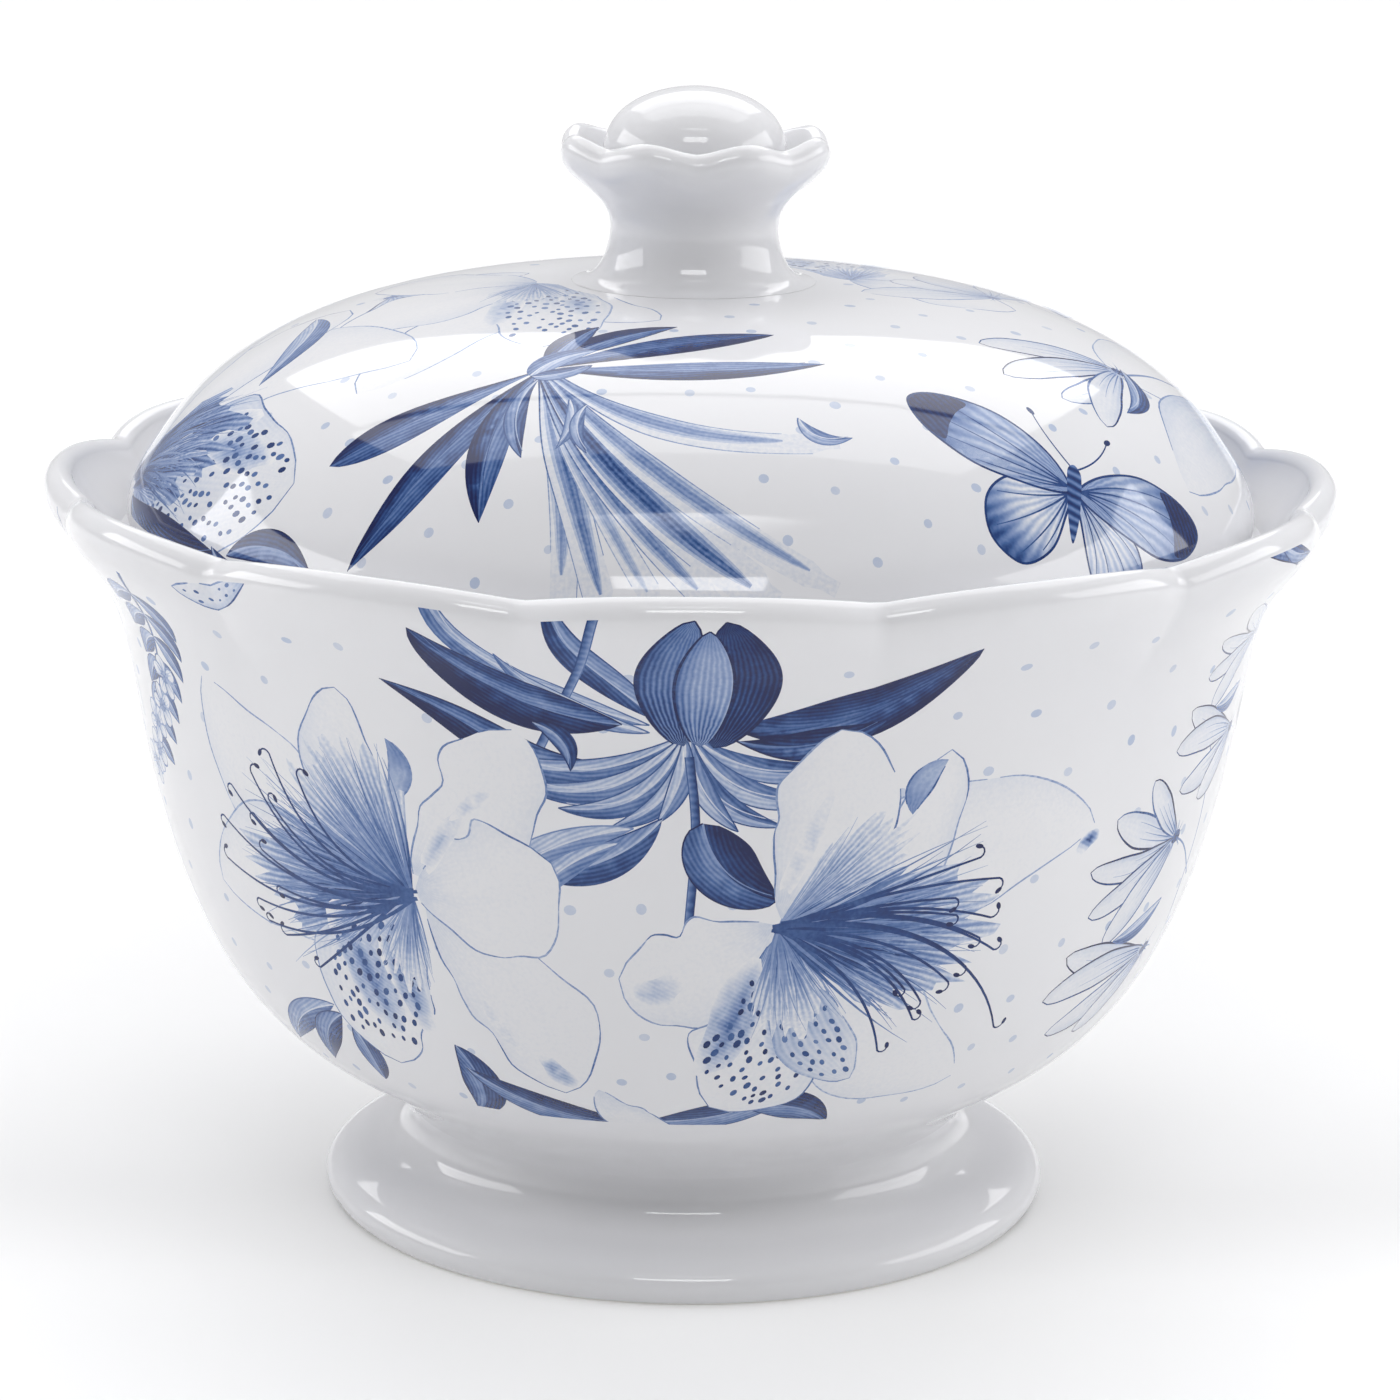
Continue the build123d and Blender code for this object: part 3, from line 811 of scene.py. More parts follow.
def butterfly(out, c, turn=0.0, size=1.0):
    """A plain garden butterfly."""
    local_ = []

    def wing(points, level, rim, vein_from, vein_tips, mark=None):
        ring = smooth_path(points, True, 7)
        mid = ring.mean(0)
        root = np.array(vein_from, float)
        span = max(np.linalg.norm(ring - root, axis=1))

        def paint(x, y):
            d = np.hypot(x - root[0], y - root[1]) / span
            t = level + (rim - level) * np.clip((d - 0.62) / 0.3, 0, 1) ** 1.3
            a = np.arctan2(y - root[1], x - root[0])
            return t - 0.14 * np.exp(-((d - 0.45) / 0.2) ** 2), 0.1, a * 7.5, 0.16
        local_.append(Shape(ring, paint))
        closed = np.vstack([ring, ring[:1]])
        stroke(local_, closed, 0.22, 0.22, 0.86, 0.86)
        for tx, ty in vein_tips:
            stroke(local_, bow(root, (tx, ty), 0.05, 0, 12), 0.2, 0.09, 0.78, 0.7)
        if mark:
            for m in mark:
                local_.append(Shape(smooth_path(m, True, 6), lambda x, y: (0.95, 0.06, x * 1.4 + y, 0.2)))
    for s in (1, -1):
        f = lambda pts: [(s * x, y) for x, y in pts]
        wing(f([(0.5, -0.6), (3.0, -0.6), (6.6, -1.6), (8.6, -4.4), (8.0, -7.8), (5.0, -9.2), (2.2, -7.0), (0.9, -3.4)]), 0.26, 0.72, (s * 0.6, -0.8),
             f([(7.6, -3.4), (7.6, -6.6), (5.4, -8.6), (3.0, -7.3)]))
        wing(f([(0.6, 0.4), (3.2, 3.2), (7.4, 5.8), (12.2, 6.6), (14.6, 5.2), (13.4, 1.6), (9.6, -1.2), (4.6, -1.6), (0.9, -0.8)]), 0.42, 0.86, (s * 0.6, 0.0),
             f([(12.0, 6.0), (13.6, 4.2), (12.6, 1.4), (9.4, -0.8), (5.4, -1.2)]),
             [f([(9.6, 6.0), (12.4, 6.5), (14.5, 5.1), (13.7, 2.2), (12.0, 0.7), (11.4, 2.6), (10.6, 4.4)])])
        stroke(local_, bow((s * 0.3, 2.2), (s * 3.6, 7.4), -0.08 * s, 0, 14), 0.17, 0.12, 0.8)
        ellipse(local_, (s * 3.65, 7.5), 0.5, 0.28, 1.0 * s, 0.9)
    body = np.array([(0.0, 2.6), (0.62, 2.0), (0.75, 0.9), (0.72, -0.8), (0.55, -3.2), (0.0, -5.4), (-0.55, -3.2), (-0.72, -0.8), (-0.75, 0.9), (-0.62, 2.0)])
    local_.append(Shape(smooth_path(body, True, 5), lambda x, y: (0.72, 0.2, y / 0.9, 0.1)))
    out.extend(s.moved(c[0], c[1], turn, False, size) for s in local_)


def tube(out, p0, p1, bulge=0.0, width=1.3, seed=0, tone=0.4, flare=1.6):
    """A pale hanging trumpet: a streak of wash down its middle, fine lines at its sides."""
    n = 28
    rng = np.random.default_rng(seed + 600)
    axis = bow(p0, p1, bulge, 0.0, n)
    u = np.linspace(0, 1, n)
    w = width * (0.42 + 0.78 * smooth01(u / 0.5)) * (1 + 0.07 * np.sin(7 * u + seed)) * np.where(u > 0.95, 0.6, 1)
    l, r = sides(axis, w, w)
    shift = rng.uniform(-0.2, 0.3)

    def wash(level, fall, near):
        def paint(x, y):
            uu, d = local(axis, x, y)
            t = level * (1 - fall * uu) + near * np.exp(-uu / 0.14)
            return t, 0.13 * t, d * 2.1, 0.14 + 0.3 * t
        return paint
    out.append(Shape(np.vstack([l, r[::-1]]), wash(0.05, 0.2, 0.3 * tone)))
    a0, a1 = 1, int(n * rng.uniform(0.86, 0.97))
    fade = np.sqrt(np.clip((1 - np.linspace(0, 1, a1 - a0) ** 3), 0.02, 1))
    middle = axis[a0:a1] + ((l - r)[a0:a1]) * (0.5 * shift)
    for part, level in ((0.8, 0.42), (0.58, 0.78), (0.3, 1.12)):
        ll, rr = sides(middle, w[a0:a1] * part * fade, w[a0:a1] * part * fade)
        out.append(Shape(np.vstack([ll, rr[::-1]]), wash(tone * level, 0.35, 0.25 * tone)))
    stroke(out, l[: int(n * rng.uniform(0.75, 1.0))], 0.18, 0.1, min(1, tone * 1.5), tone * 0.6, grain=0.5)
    stroke(out, r[: int(n * rng.uniform(0.75, 1.0))], 0.18, 0.1, min(1, tone * 1.35), tone * 0.5, grain=0.5)


def dot_field(out, xs, ys, pitch, seed, keep=lambda x, y: True, r=0.5, tone=0.17):
    """Pale dots, evenly but not regularly spread, behind everything else."""
    rng = np.random.default_rng(seed)
    row = 0
    y = ys[0]
    while y < ys[1]:
        x = xs[0] + (pitch / 2 if row % 2 else 0)
        while x < xs[1]:
            px, py = x + rng.uniform(-1.3, 1.3), y + rng.uniform(-1.3, 1.3)
            if keep(px, py):
                ellipse(out, (px, py), r * rng.uniform(0.85, 1.15), r * rng.uniform(0.85, 1.15), 0, tone * rng.uniform(0.7, 1.2), 0.05, 12)
            x += pitch
        y += pitch * 0.8
        row += 1


def lily_left(out, seed=0):
    """A large open lily, its stamens swept to the left. Its throat is the origin."""
    c = (0.0, 0.0)
    petal(out, c, (-22.5, 17.0), 0.12, 6.4, 1.2, 0.7, 0.06, seed + 1, 0.0, 0.3, 0.14, 0.05, 0.26, side=1)
    petal(out, c, (-27.0, -4.5), -0.06, 6.6, 1.15, 0.7, 0.05, seed + 2, 0.0, 0.3, 0.16, 0.07, 0.24, side=-1)
    petal(out, (-0.4, 1.0), (-5.0, 19.6), 0.16, 4.0, 1.2, 0.6, 0.10, seed + 3, 0.0, 0.62, 0.3, 0.07, 0.42, side=1)
    petal(out, (-1.0, 15.0), (-1.6, 8.6), 0.22, 1.1, 1.0, 0.8, 0.0, seed + 31, 0.24, 0.3, 0.4, 0.2, 0.5, n=14)
    petal(out, (1.2, -1.0), (12.5, -21.5), 0.12, 6.0, 1.2, 0.62, 0.09, seed + 4, 0.0, 0.12, 0.16, 0.05, 0.42, side=-1)
    patch(out, (12.2, -18.6), 2.6, 1.2, -0.9, 0.45, seed)
    patch(out, (7.0, -13.5), 3.4, 0.7, -1.15, 0.16, seed + 1)
    petal(out, (0.4, 2.0), (10.8, 17.4), -0.10, 5.2, 1.25, 0.55, 0.12, seed + 8, 0.0, 0.12, 0.16, 0.05, 0.4, side=-1)
    petal(out, (0.4, 0.4), (13.6, 4.6), -0.10, 6.6, 1.15, 0.58, 0.10, seed + 5, 0.0, 0.16, 0.16, 0.06, 0.42, side=1)
    patch(out, (3.6, 5.8), 4.0, 1.0, 1.0, 0.2, seed + 2)
    patch(out, (6.6, 9.6), 2.4, 0.7, 0.7, 0.16, seed + 3)
    fan(out, c, 88, 168, 18.0, 0.72, 30, seed + 1, 0.6)
    fan(out, c, 148, 218, 22.0, 0.98, 34, seed + 2, 0.7)
    fan(out, c, 205, 248, 16.0, 0.66, 18, seed + 3, 0.65)
    info = petal(out, (-0.4, -0.8), (-7.4, -21.0), -0.12, 6.6, 1.3, 0.55, 0.08, seed + 6, 0.0, 0.7, 0.26, 0.05, 0.44, veins=0.05, side=-1)
    patch(out, (-7.0, -9.6), 7.4, 3.0, -1.3, 0.52, seed + 4)
    patch(out, (-2.4, -8.6), 7.0, 2.0, -1.45, 0.55, seed + 5)
    speckle(out, info, 96, 0.2, 0.86, -0.7, 0.8, 0.34, (0.65, 0.95), seed)
    fan(out, (-0.2, -0.4), -122, -78, 11, 0.66, 14, seed + 6, 0.55)
    throat(out, c, (-116, -84), 10, 22, seed + 2, (0.4, 0.75), 0.26)
    throat(out, c, (146, 216), 21, 96, seed + 3, (0.55, 1.0), 0.38)
    throat(out, c, (94, 150), 16, 52, seed + 4, (0.45, 0.85), 0.34)
    throat(out, c, (210, 244), 11, 20, seed + 6, (0.3, 0.6), 0.28)
    stamens(out, c, [(-23.4, 3.0, 0.12), (-24.6, -1.6, 0.10), (-21.0, 6.6, 0.14), (-17.6, 8.6, 0.17), (-14.6, 11.0, 0.18), (-20.6, -4.8, 0.08), (-18.2, 4.4, 0.12),
                     (-17.5, -8.0, 0.05), (-18.0, 0.8, 0.10), (-13.6, -10.6, 0.02), (-15.6, 6.4, 0.15), (-11.4, 9.6, 0.16), (-16.6, -2.6, 0.08), (-19.8, -7.0, 0.1)], seed, 0.86, 0.27)


def lily_right(out, seed=0):
    """The lily's companion, its stamens swept to the right."""
    c = (0.0, 0.0)
    petal(out, c, (31.5, 6.6), 0.10, 6.6, 1.15, 0.72, 0.05, seed + 1, 0.0, 0.3, 0.14, 0.06, 0.28, side=1)
    patch(out, (31.0, 4.9), 1.6, 0.9, 0.6, 0.8, seed + 7)
    petal(out, c, (22.5, -20.0), -0.10, 6.6, 1.2, 0.7, 0.06, seed + 2, 0.0, 0.3, 0.16, 0.05, 0.26, side=-1)
    petal(out, c, (14.4, 16.4), -0.20, 4.0, 1.2, 0.6, 0.10, seed + 3, 0.0, 0.3, 0.2, 0.08, 0.44, side=-1)
    petal(out, (11.4, 10.4), (14.2, 15.4), 0.16, 1.2, 1.0, 0.8, 0.0, seed + 31, 0.26, 0.3, 0.4, 0.2, 0.5, n=14)
    petal(out, (0.2, 1.0), (4.4, 19.4), -0.12, 5.6, 1.15, 0.6, 0.06, seed + 4, 0.0, 0.16, 0.16, 0.06, 0.42, side=1)
    petal(out, (-0.4, 0.4), (-14.2, -5.4), 0.14, 5.6, 1.2, 0.58, 0.12, seed + 5, 0.0, 0.12, 0.16, 0.06, 0.42, side=1)
    patch(out, (-10.6, -6.6), 2.4, 1.6, 0.3, 0.3, seed + 8)
    patch(out, (2.2, 8.2), 5.4, 0.9, 1.2, 0.16, seed + 9)
    fan(out, c, 18, 64, 16.0, 0.6, 20, seed + 1, 0.6)
    fan(out, c, -46, 28, 23.0, 1.0, 38, seed + 2, 0.7)
    info = petal(out, (0.0, -0.8), (-5.4, -21.4), 0.14, 6.6, 1.3, 0.55, 0.09, seed + 6, 0.0, 0.7, 0.26, 0.05, 0.44, veins=0.05, side=1)
    patch(out, (-3.6, -10.0), 7.0, 2.6, 1.25, 0.52, seed + 4)
    patch(out, (1.2, -9.4), 6.2, 1.7, 1.5, 0.46, seed + 5)
    speckle(out, info, 92, 0.24, 0.88, -0.76, 0.72, 0.34, (0.65, 0.95), seed)
    info = petal(out, (0.6, -0.6), (9.4, -18.0), -0.1, 3.6, 1.25, 0.6, 0.06, seed + 7, 0.03, 0.74, 0.46, 0.12, 0.34, veins=0.08, side=-1)
    speckle(out, info, 30, 0.5, 0.94, -0.7, 0.7, 0.3, (0.55, 0.8), seed + 3)
    fan(out, (0.2, -0.2), -108, -52, 13, 0.72, 18, seed + 6, 0.55)
    throat(out, c, (-102, -50), 12, 34, seed + 2, (0.4, 0.75), 0.28)
    throat(out, c, (-46, 26), 21, 104, seed + 3, (0.55, 1.0), 0.38)
    throat(out, c, (24, 60), 12, 20, seed + 4, (0.3, 0.6), 0.28)
    stamens(out, c, [(21.0, 3.0, 0.06), (22.0, -4.6, 0.10), (25.2, -14.0, 0.16), (20.8, -1.0, 0.08), (14.6, -11.2, 0.12), (17.6, -7.4, 0.10), (19.2, -6.0, 0.12),
                     (18.6, 5.4, 0.02), (11.6, -14.6, 0.10), (16.6, 1.6, 0.05), (13.0, -7.6, 0.1), (20.0, -3.0, 0.1), (15.0, -9.2, 0.12), (17.0, -0.2, 0.06)], seed, 0.88, 0.27)


def bud_crown(out, seed=0):
    """A fat bud over a crown of lance leaves. The origin is where the leaves spring."""
    leaf(out, (-2.0, 2.0), (-10.8, 17.0), 0.06, 1.7, 0.8, 0.52)
    leaf(out, (-3.0, 1.6), (-20.6, 18.0), 0.12, 1.5, 0.6, 0.3, edge=0.66)
    stem(out, [(-16.2, -9.4), (-12.0, -1.0), (-8.4, 8.0), (-6.6, 15.0)], 0.7, 0.62)
    leaf(out, (-3.0, 0.8), (-14.6, 10.6), 0.14, 1.2, 0.5, 0.26, edge=0.66)
    leaf(out, (-5.2, 1.6), (-20.8, 12.2), 0.14, 3.1, 1.0, 0.8, 1.0, 0.8)
    leaf(out, (-5.0, -2.6), (-25.2, 4.6), 0.10, 1.9, 1.0, 0.74, 1.0, sway=0.03)
    leaf(out, (3.6, 1.4), (22.4, 10.2), -0.16, 3.1, 0.88, 1.0, 1.05, 0.8)
    leaf(out, (4.0, 0.0), (16.4, 1.8), -0.12, 1.7, 1.0, 0.84, 1.1)
    # the skirt of narrow sepals under the bud
    for tx, ty, b, w, dk, lt in [(-17.4, -1.8, 0.16, 1.3, 0.66, 0.34), (-14.8, -4.6, 0.20, 1.25, 0.58, 0.26), (-10.8, -7.0, 0.22, 1.2, 0.64, 0.3), (-6.4, -8.6, 0.2, 1.05, 0.56, 0.26),
                                 (13.8, -2.4, -0.16, 1.2, 0.7, 0.4), (12.0, -5.8, -0.2, 1.2, 0.58, 0.28), (8.2, -8.4, -0.2, 1.1, 0.66, 0.32), (4.4, -8.8, -0.12, 1.0, 0.5, 0.24),
                                 (-2.4, -8.0, 0.1, 0.95, 0.5, 0.22)]:
        leaf(out, (0.25 * np.sign(tx), 0.6), (tx, ty), b, w, dk, lt, 1.1, 0.8, edge=0.74, n=22)
    leaf(out, (-12.6, 1.4), (-9.6, -3.4), 0.2, 1.0, 0.84, 0.6)
    stem(out, [(0.2, -1.6), (0.8, -9.0), (0.2, -19.6)], 0.7, 0.72)
    leaf(out, (1.4, -8.0), (8.0, -15.6), -0.16, 3.2, 1.0, 0.72, 0.8, 0.6)
    leaf(out, (-2.0, -7.6), (-14.6, -13.2), 0.14, 1.9, 0.78, 0.52, 0.95)
    leaf(out, (-4.4, -8.6), (-20.8, -20.0), -0.12, 1.6, 0.5, 0.26, edge=0.5)
    leaf(out, (-5.6, -10.0), (-16.0, -19.6), -0.1, 1.2, 0.56, 0.3, edge=0.5)
    bud(out, (1.0, -0.6), (1.6, 14.2), 0.0, 3.7, seed, 0.98)


def line_flower_sprig(out, seed=0):
    """Small line flowers on a thin curved stem."""
    stroke(out, smooth_path([(16.0, 0.0), (10.0, 5.0), (5.0, 6.0), (0.0, 4.0)]), 0.24, 0.16, 0.5)
    stroke(out, smooth_path([(18.0, -12.0), (15.0, -2.0), (14.0, 8.0), (10.0, 20.0)]), 0.26, 0.16, 0.5)
    sketch_flower(out, (8.0, 6.0), [(-4.0, 10.4), (-6.4, 5.6), (-5.0, 0.6), (1.0, 13.2), (-1.0, -3.4)], seed, 0.8, 1.7)
    sketch_flower(out, (10.4, -6.6), [(-6.4, -3.4), (-7.6, -8.2), (-4.0, -13.2), (2.4, -14.6)], seed + 10, 0.8, 1.8)
    leaf(out, (9.4, -0.8), (1.0, -3.4), 0.1, 1.2, 0.66, 0.3, edge=0.55)


def leaf_sprig(out, seed=0):
    """A drooping spray of toothed leaves and small blossoms."""
    axis = smooth_path([(5.0, 16.0), (2.0, 8.0), (-2.0, 0.0), (-6.0, -8.0)])
    stroke(out, axis, 0.5, 0.2, 0.7)
    for k in range(7):
        q = axis[3 + 3 * k]
        for s in (-1, 1):
            a = math.radians(-112 + s * 48 + 6 * k)
            ln = 6.0 - 0.4 * k
            leaf(out, q, (q[0] + ln * math.cos(a), q[1] + ln * math.sin(a)), 0.1 * s, 1.5 - 0.08 * k, 0.72, 0.44)
    rng = np.random.default_rng(seed)
    for k in range(5):
        q = (-9.0 + 2.2 * k + rng.uniform(-1, 1), -8.0 + 2.6 * k + rng.uniform(-1, 1))
        sketch_flower(out, q, [(q[0] + 2.3 * math.cos(t), q[1] + 2.3 * math.sin(t)) for t in np.arange(5) * 1.2566 + k], seed + k, 0.5, 0.9)


def spray(seed, right_only=False):
    """The main group: two lilies, the bud crown between them and leaves along the lower edge."""
    out = []
    leaf(out, (-39.0, 55.6), (-54.0, 46.6), -0.06, 1.8, 0.7, 0.42)
    leaf(out, (-38.4, 54.6), (-46.6, 46.0), -0.08, 1.9, 0.84, 0.6)
    leaf(out, (-37.4, 53.6), (-38.0, 45.4), 0.08, 1.9, 0.88, 0.6)
    bud_local = []
    bud_crown(bud_local, seed)
    out += [s.moved(0.0, 87.6) for s in bud_local]
    leaf(out, (-24.0, 54.0), (-25.4, 43.0), 0.2, 2.6, 0.86, 0.7)
    leaf(out, (-23.6, 51.0), (-3.0, 44.0), -0.10, 2.3, 0.9, 0.64)
    leaf(out, (-4.0, 45.0), (12.4, 50.4), -0.08, 2.2, 0.88, 0.56)
    leaf(out, (6.6, 47.6), (17.0, 44.2), 0.14, 2.4, 0.9, 0.66)
    petal(out, (-9.0, 50.0), (-1.0, 43.6), -0.2, 2.6, 1.1, 0.6, 0.06, seed + 91, 0.0, 0.14, 0.2, 0.08, 0.4, side=1)
    left, right = [], []
    lily_left(left, seed)
    lily_right(right, seed + 20)
    out += [s.moved(-25.2, 70.6) for s in left]
    out += [s.moved(8.2, 69.2) for s in right]
    return out


def small_top_bits(seed):
    """Ends of leaves and a speckled petal that the upper edge of the print cuts off."""
    out = []
    leaf(out, (-4.0, 4.6), (3.6, 1.6), 0.1, 1.2, 0.9, 0.66)
    leaf(out, (-1.0, 5.0), (6.4, 2.4), -0.1, 1.0, 0.8, 0.5)
    info = petal(out, (-13.0, 4.2), (-22.0, 1.6), 0.1, 1.3, 1.1, 0.6, 0.04, seed, 0.04, 0.3, 0.3, 0.15, 0.55, n=16)
    speckle(out, info, 12, 0.2, 0.9, -0.6, 0.6, 0.2, (0.5, 0.7), seed)
    return out


def bowl_print():
    full = 2 * X_SEAM_MM
    out = []
    dot_field(out, (-X_SEAM_MM, X_SEAM_MM - 3), (PRINT_LO + 2, PRINT_HI - 2), 7.6, 3)
    extra = []
    leaf_local = []
    leaf_sprig(leaf_local, 4)
    extra += [s.moved(-56.5, 83.0) for s in leaf_local]
    extra += [s.moved(104.0, 80.0, 0.1, True) for s in leaf_local]
    lf = []
    line_flower_sprig(lf, 6)
    extra += [s.moved(47.0, 65.0) for s in lf]
    extra += [s.moved(58.0, 86.0, -0.15, False, 0.8) for s in lf]
    extra += [s.moved(-92.0, 70.0, 0.2, True) for s in lf]
    extra += [s.moved(-80.0, 90.0, -0.1, False, 0.8) for s in lf]
    extra += [s.moved(96.0, 58.0, 0.1, False, 0.9) for s in lf]
    extra += [s.moved(-22.0, 98.4) for s in small_top_bits(2)[8:]]
    extra += [s.moved(54.0, 98.2) for s in small_top_bits(3)[:8]]
    extra += [s.moved(-96.0, 98.4) for s in small_top_bits(5)]
    extra += [s.moved(112.0, 98.6, 0, True) for s in small_top_bits(7)]
    bf = []
    butterfly(bf, (82.0, 82.0), 0.5, 0.85)
    butterfly(bf, (-82.0, 58.0), -0.4, 0.8)
    extra += bf
    extra += [s.moved(163.0, 0.0, 0.0, True) for s in spray(200)]
    out += extra
    out += spray(11)
    done = []
    for s in out:
        for shift in (0.0, full, -full):
            r = s.rings[0]
            if shift and not (r[:, 0].max() + shift > -X_SEAM_MM and r[:, 0].min() + shift < X_SEAM_MM):
                continue
            t = s.moved(shift) if shift else s
            ring = clip_band(t.rings[0], PRINT_LO, PRINT_HI, -X_SEAM_MM, X_SEAM_MM)
            if len(ring) < 3 or abs(ring_area(ring)) < 0.004:
                continue
            q = Shape(ring, t.paint)
            done.append(q)
    return done


def lid_group(seed):
    out = []
    # a pale bell flower high on the dome, speckled towards its mouth
    for k, (tx, ty, b, w) in enumerate([(-31.0, -29.5, 0.1, 5.2), (-3.0, -21.0, -0.12, 4.4), (-34.0, -13.0, 0.08, 6.0), (-31.0, 3.0, -0.06, 5.4)]):
        petal(out, (-15.0, -2.5), (tx, ty), b, w, 1.25, 0.6, 0.08, seed + k, 0.0, 0.36, 0.14, 0.06, 0.36, side=(-1) ** k)
    info = petal(out, (-15.2, -2.0), (-13.6, -27.6), 0.05, 5.8, 1.25, 0.58, 0.08, seed + 9, 0.0, 0.5, 0.3, 0.05, 0.4, veins=0.05, side=1)
    patch(out, (-17.6, -14.0), 7.0, 1.6, 1.45, 0.32, seed + 1)
    patch(out, (-10.6, -14.0), 5.0, 1.8, 1.7, 0.36, seed + 2)
    speckle(out, info, 70, 0.22, 0.9, -0.8, 0.8, 0.33, (0.45, 0.75), seed)
    fan(out, (-15.2, -2.0), -130, -58, 11, 0.6, 24, seed + 1, 0.6)
    throat(out, (-15.2, -3.0), (-128, -62), 9, 36, seed, (0.3, 0.65), 0.26)
    # the large flower at the left edge
    petal(out, (-60.0, -12.0), (-26.0, -26.0), 0.12, 6.8, 1.25, 0.62, 0.08, seed + 20, 0.0, 0.4, 0.2, 0.06, 0.38, side=1)
    petal(out, (-60.0, -8.0), (-33.0, -4.0), -0.14, 7.0, 1.25, 0.62, 0.07, seed + 21, 0.0, 0.24, 0.16, 0.06, 0.38, side=-1)
    petal(out, (-60.0, -8.0), (-41.0, 14.0), -0.1, 6.6, 1.2, 0.62, 0.06, seed + 22, 0.0, 0.24, 0.16, 0.06, 0.36, side=-1)
    petal(out, (-61.0, -6.0), (-50.0, 26.0), -0.1, 5.0, 1.2, 0.62, 0.06, seed + 25, 0.0, 0.6, 0.4, 0.1, 0.34, side=-1)
    info = petal(out, (-58.0, -9.0), (-38.0, -38.0), -0.08, 8.6, 1.25, 0.6, 0.08, seed + 23, 0.02, 0.6, 0.34, 0.07, 0.42, veins=0.06, side=1)
    patch(out, (-47.0, -22.0), 7.5, 3.0, -0.75, 0.55, seed + 4)
    patch(out, (-44.0, -28.0), 6.5, 2.2, -1.0, 0.5, seed + 5)
    speckle(out, info, 104, 0.36, 0.95, -0.8, 0.8, 0.36, (0.6, 0.9), seed + 4)
    fan(out, (-60.0, -6.0), -80, -26, 27, 1.25, 34, seed + 6, 0.85)
    fan(out, (-60.0, -10.0), -72, -34, 20, 1.0, 26, seed + 9, 0.9)
    throat(out, (-59.0, -8.0), (-74, -32), 20, 90, seed + 7, (0.55, 0.95), 0.36, 4.0)
    leaf(out, (-60.0, -12.0), (-48.5, -39.0), -0.12, 3.2, 0.92, 0.72, 1.1, 0.8, veins=0.12)
    leaf(out, (-36.4, -3.4), (-41.4, -18.4), 0.12, 2.0, 0.6, 0.34)
    leaf(out, (-47.4, -39.6), (-38.0, -48.4), 0.1, 1.7, 0.94, 0.7)
    leaf(out, (-49.0, -37.0), (-43.0, -46.4), -0.14, 1.1, 0.9, 0.6)
    # hanging pale trumpets, then the fan of lance leaves they hang from
    hub = (-13.4, -32.6)
    for k, (tx, ty, b, w, t) in enumerate([(-12.6, -62.4, 0.05, 1.2, 0.5), (-8.2, -62.4, -0.02, 1.3, 0.62), (-2.6, -62.2, -0.06, 0.9, 0.4), (3.0, -61.6, -0.10, 1.2, 0.6), (8.6, -60.8, -0.12, 1.6, 0.75),
                                           (14.4, -58.6, -0.13, 1.1, 0.5), (13.4, -43.6, -0.20, 1.1, 0.5)]):
        tube(out, hub, (tx, ty), b, w, seed + k, t)
    leaf(out, (-11.0, -38.4), (-12.2, -45.0), 0.14, 0.8, 0.66, 0.4)
    leaf(out, (-9.4, -39.4), (-9.4, -46.0), -0.14, 0.7, 0.7, 0.44)
    leaf(out, (9.6, -41.0), (14.6, -42.6), -0.3, 0.9, 0.6, 0.34)
    leaf(out, hub, (-34.0, -38.6), 0.05, 2.3, 0.66, 1.0, 1.8, 0.75)
    leaf(out, hub, (-33.8, -50.6), 0.05, 2.0, 0.7, 1.0, 1.25)
    leaf(out, hub, (-19.8, -51.2), -0.07, 2.0, 0.66, 0.98, 1.35)
    leaf(out, (-13.6, -34.0), (-15.4, -45.4), -0.12, 1.1, 0.8, 0.5, 1.2)
    leaf(out, hub, (12.0, -31.2), -0.10, 1.8, 0.62, 1.0, 1.2)
    leaf(out, hub, (7.4, -25.0), -0.02, 2.1, 0.72, 1.0, 1.3, 0.8)
    leaf(out, hub, (-1.4, -23.4), 0.06, 1.8, 1.0, 0.7, 1.2)
    leaf(out, hub, (-8.6, -23.0), 0.04, 1.6, 0.95, 0.66, 1.1)
    leaf(out, (-14.6, -33.6), (-8.6, -29.4), 0.12, 1.5, 0.7, 0.4, 0.8, 0.7)
    leaf(out, (-14.4, -33.8), (-9.0, -32.6), -0.1, 1.1, 0.8, 0.5, 0.8, 0.7)
    butterfly(out, (36.6, -38.6), 0.14, 1.12)
    # line flowers to the right
    stroke(out, smooth_path([(41.4, -13.0), (45.0, -7.0), (49.0, -1.0), (51.4, 8.0)]), 0.36, 0.2, 0.5)
    sketch_flower(out, (41.0, -12.6), [(26.6, -19.4), (28.8, -25.6), (34.6, -26.0), (39.4, -27.0)], seed + 40, 0.72, 1.7)
    leaf(out, (41.2, -11.4), (41.6, -22.0), 0.16, 1.2, 0.76, 0.44)
    sketch_flower(out, (29.0, 2.0), [(16.0, -4.6), (19.0, 3.6), (22.0, 9.6), (30.0, 13.0)], seed + 50, 0.5, 2.6)
    return out


def lid_print():
    out = []
    dot_field(out, (-62, 62), (-62, 62), 7.6, 9, lambda x, y: LID_PRINT_LO + 1 < math.hypot(x, y) < LID_PRINT_HI - 1)
    group = lid_group(300)
    out += [s.moved(0, 0, math.pi) for s in lid_group(400)]
    out += group
    done = []
    for s in out:
        r = s.rings[0].copy()
        rho = np.hypot(r[:, 0], r[:, 1])
        if rho.min() > LID_PRINT_HI or rho.max() < LID_PRINT_LO:
            continue
        k = np.clip(rho, LID_PRINT_LO, LID_PRINT_HI) / np.maximum(rho, 1e-6)
        r = r * k[:, None]
        if abs(ring_area(r)) < 0.004:
            continue
        done.append(Shape(r, s.paint))
    return done


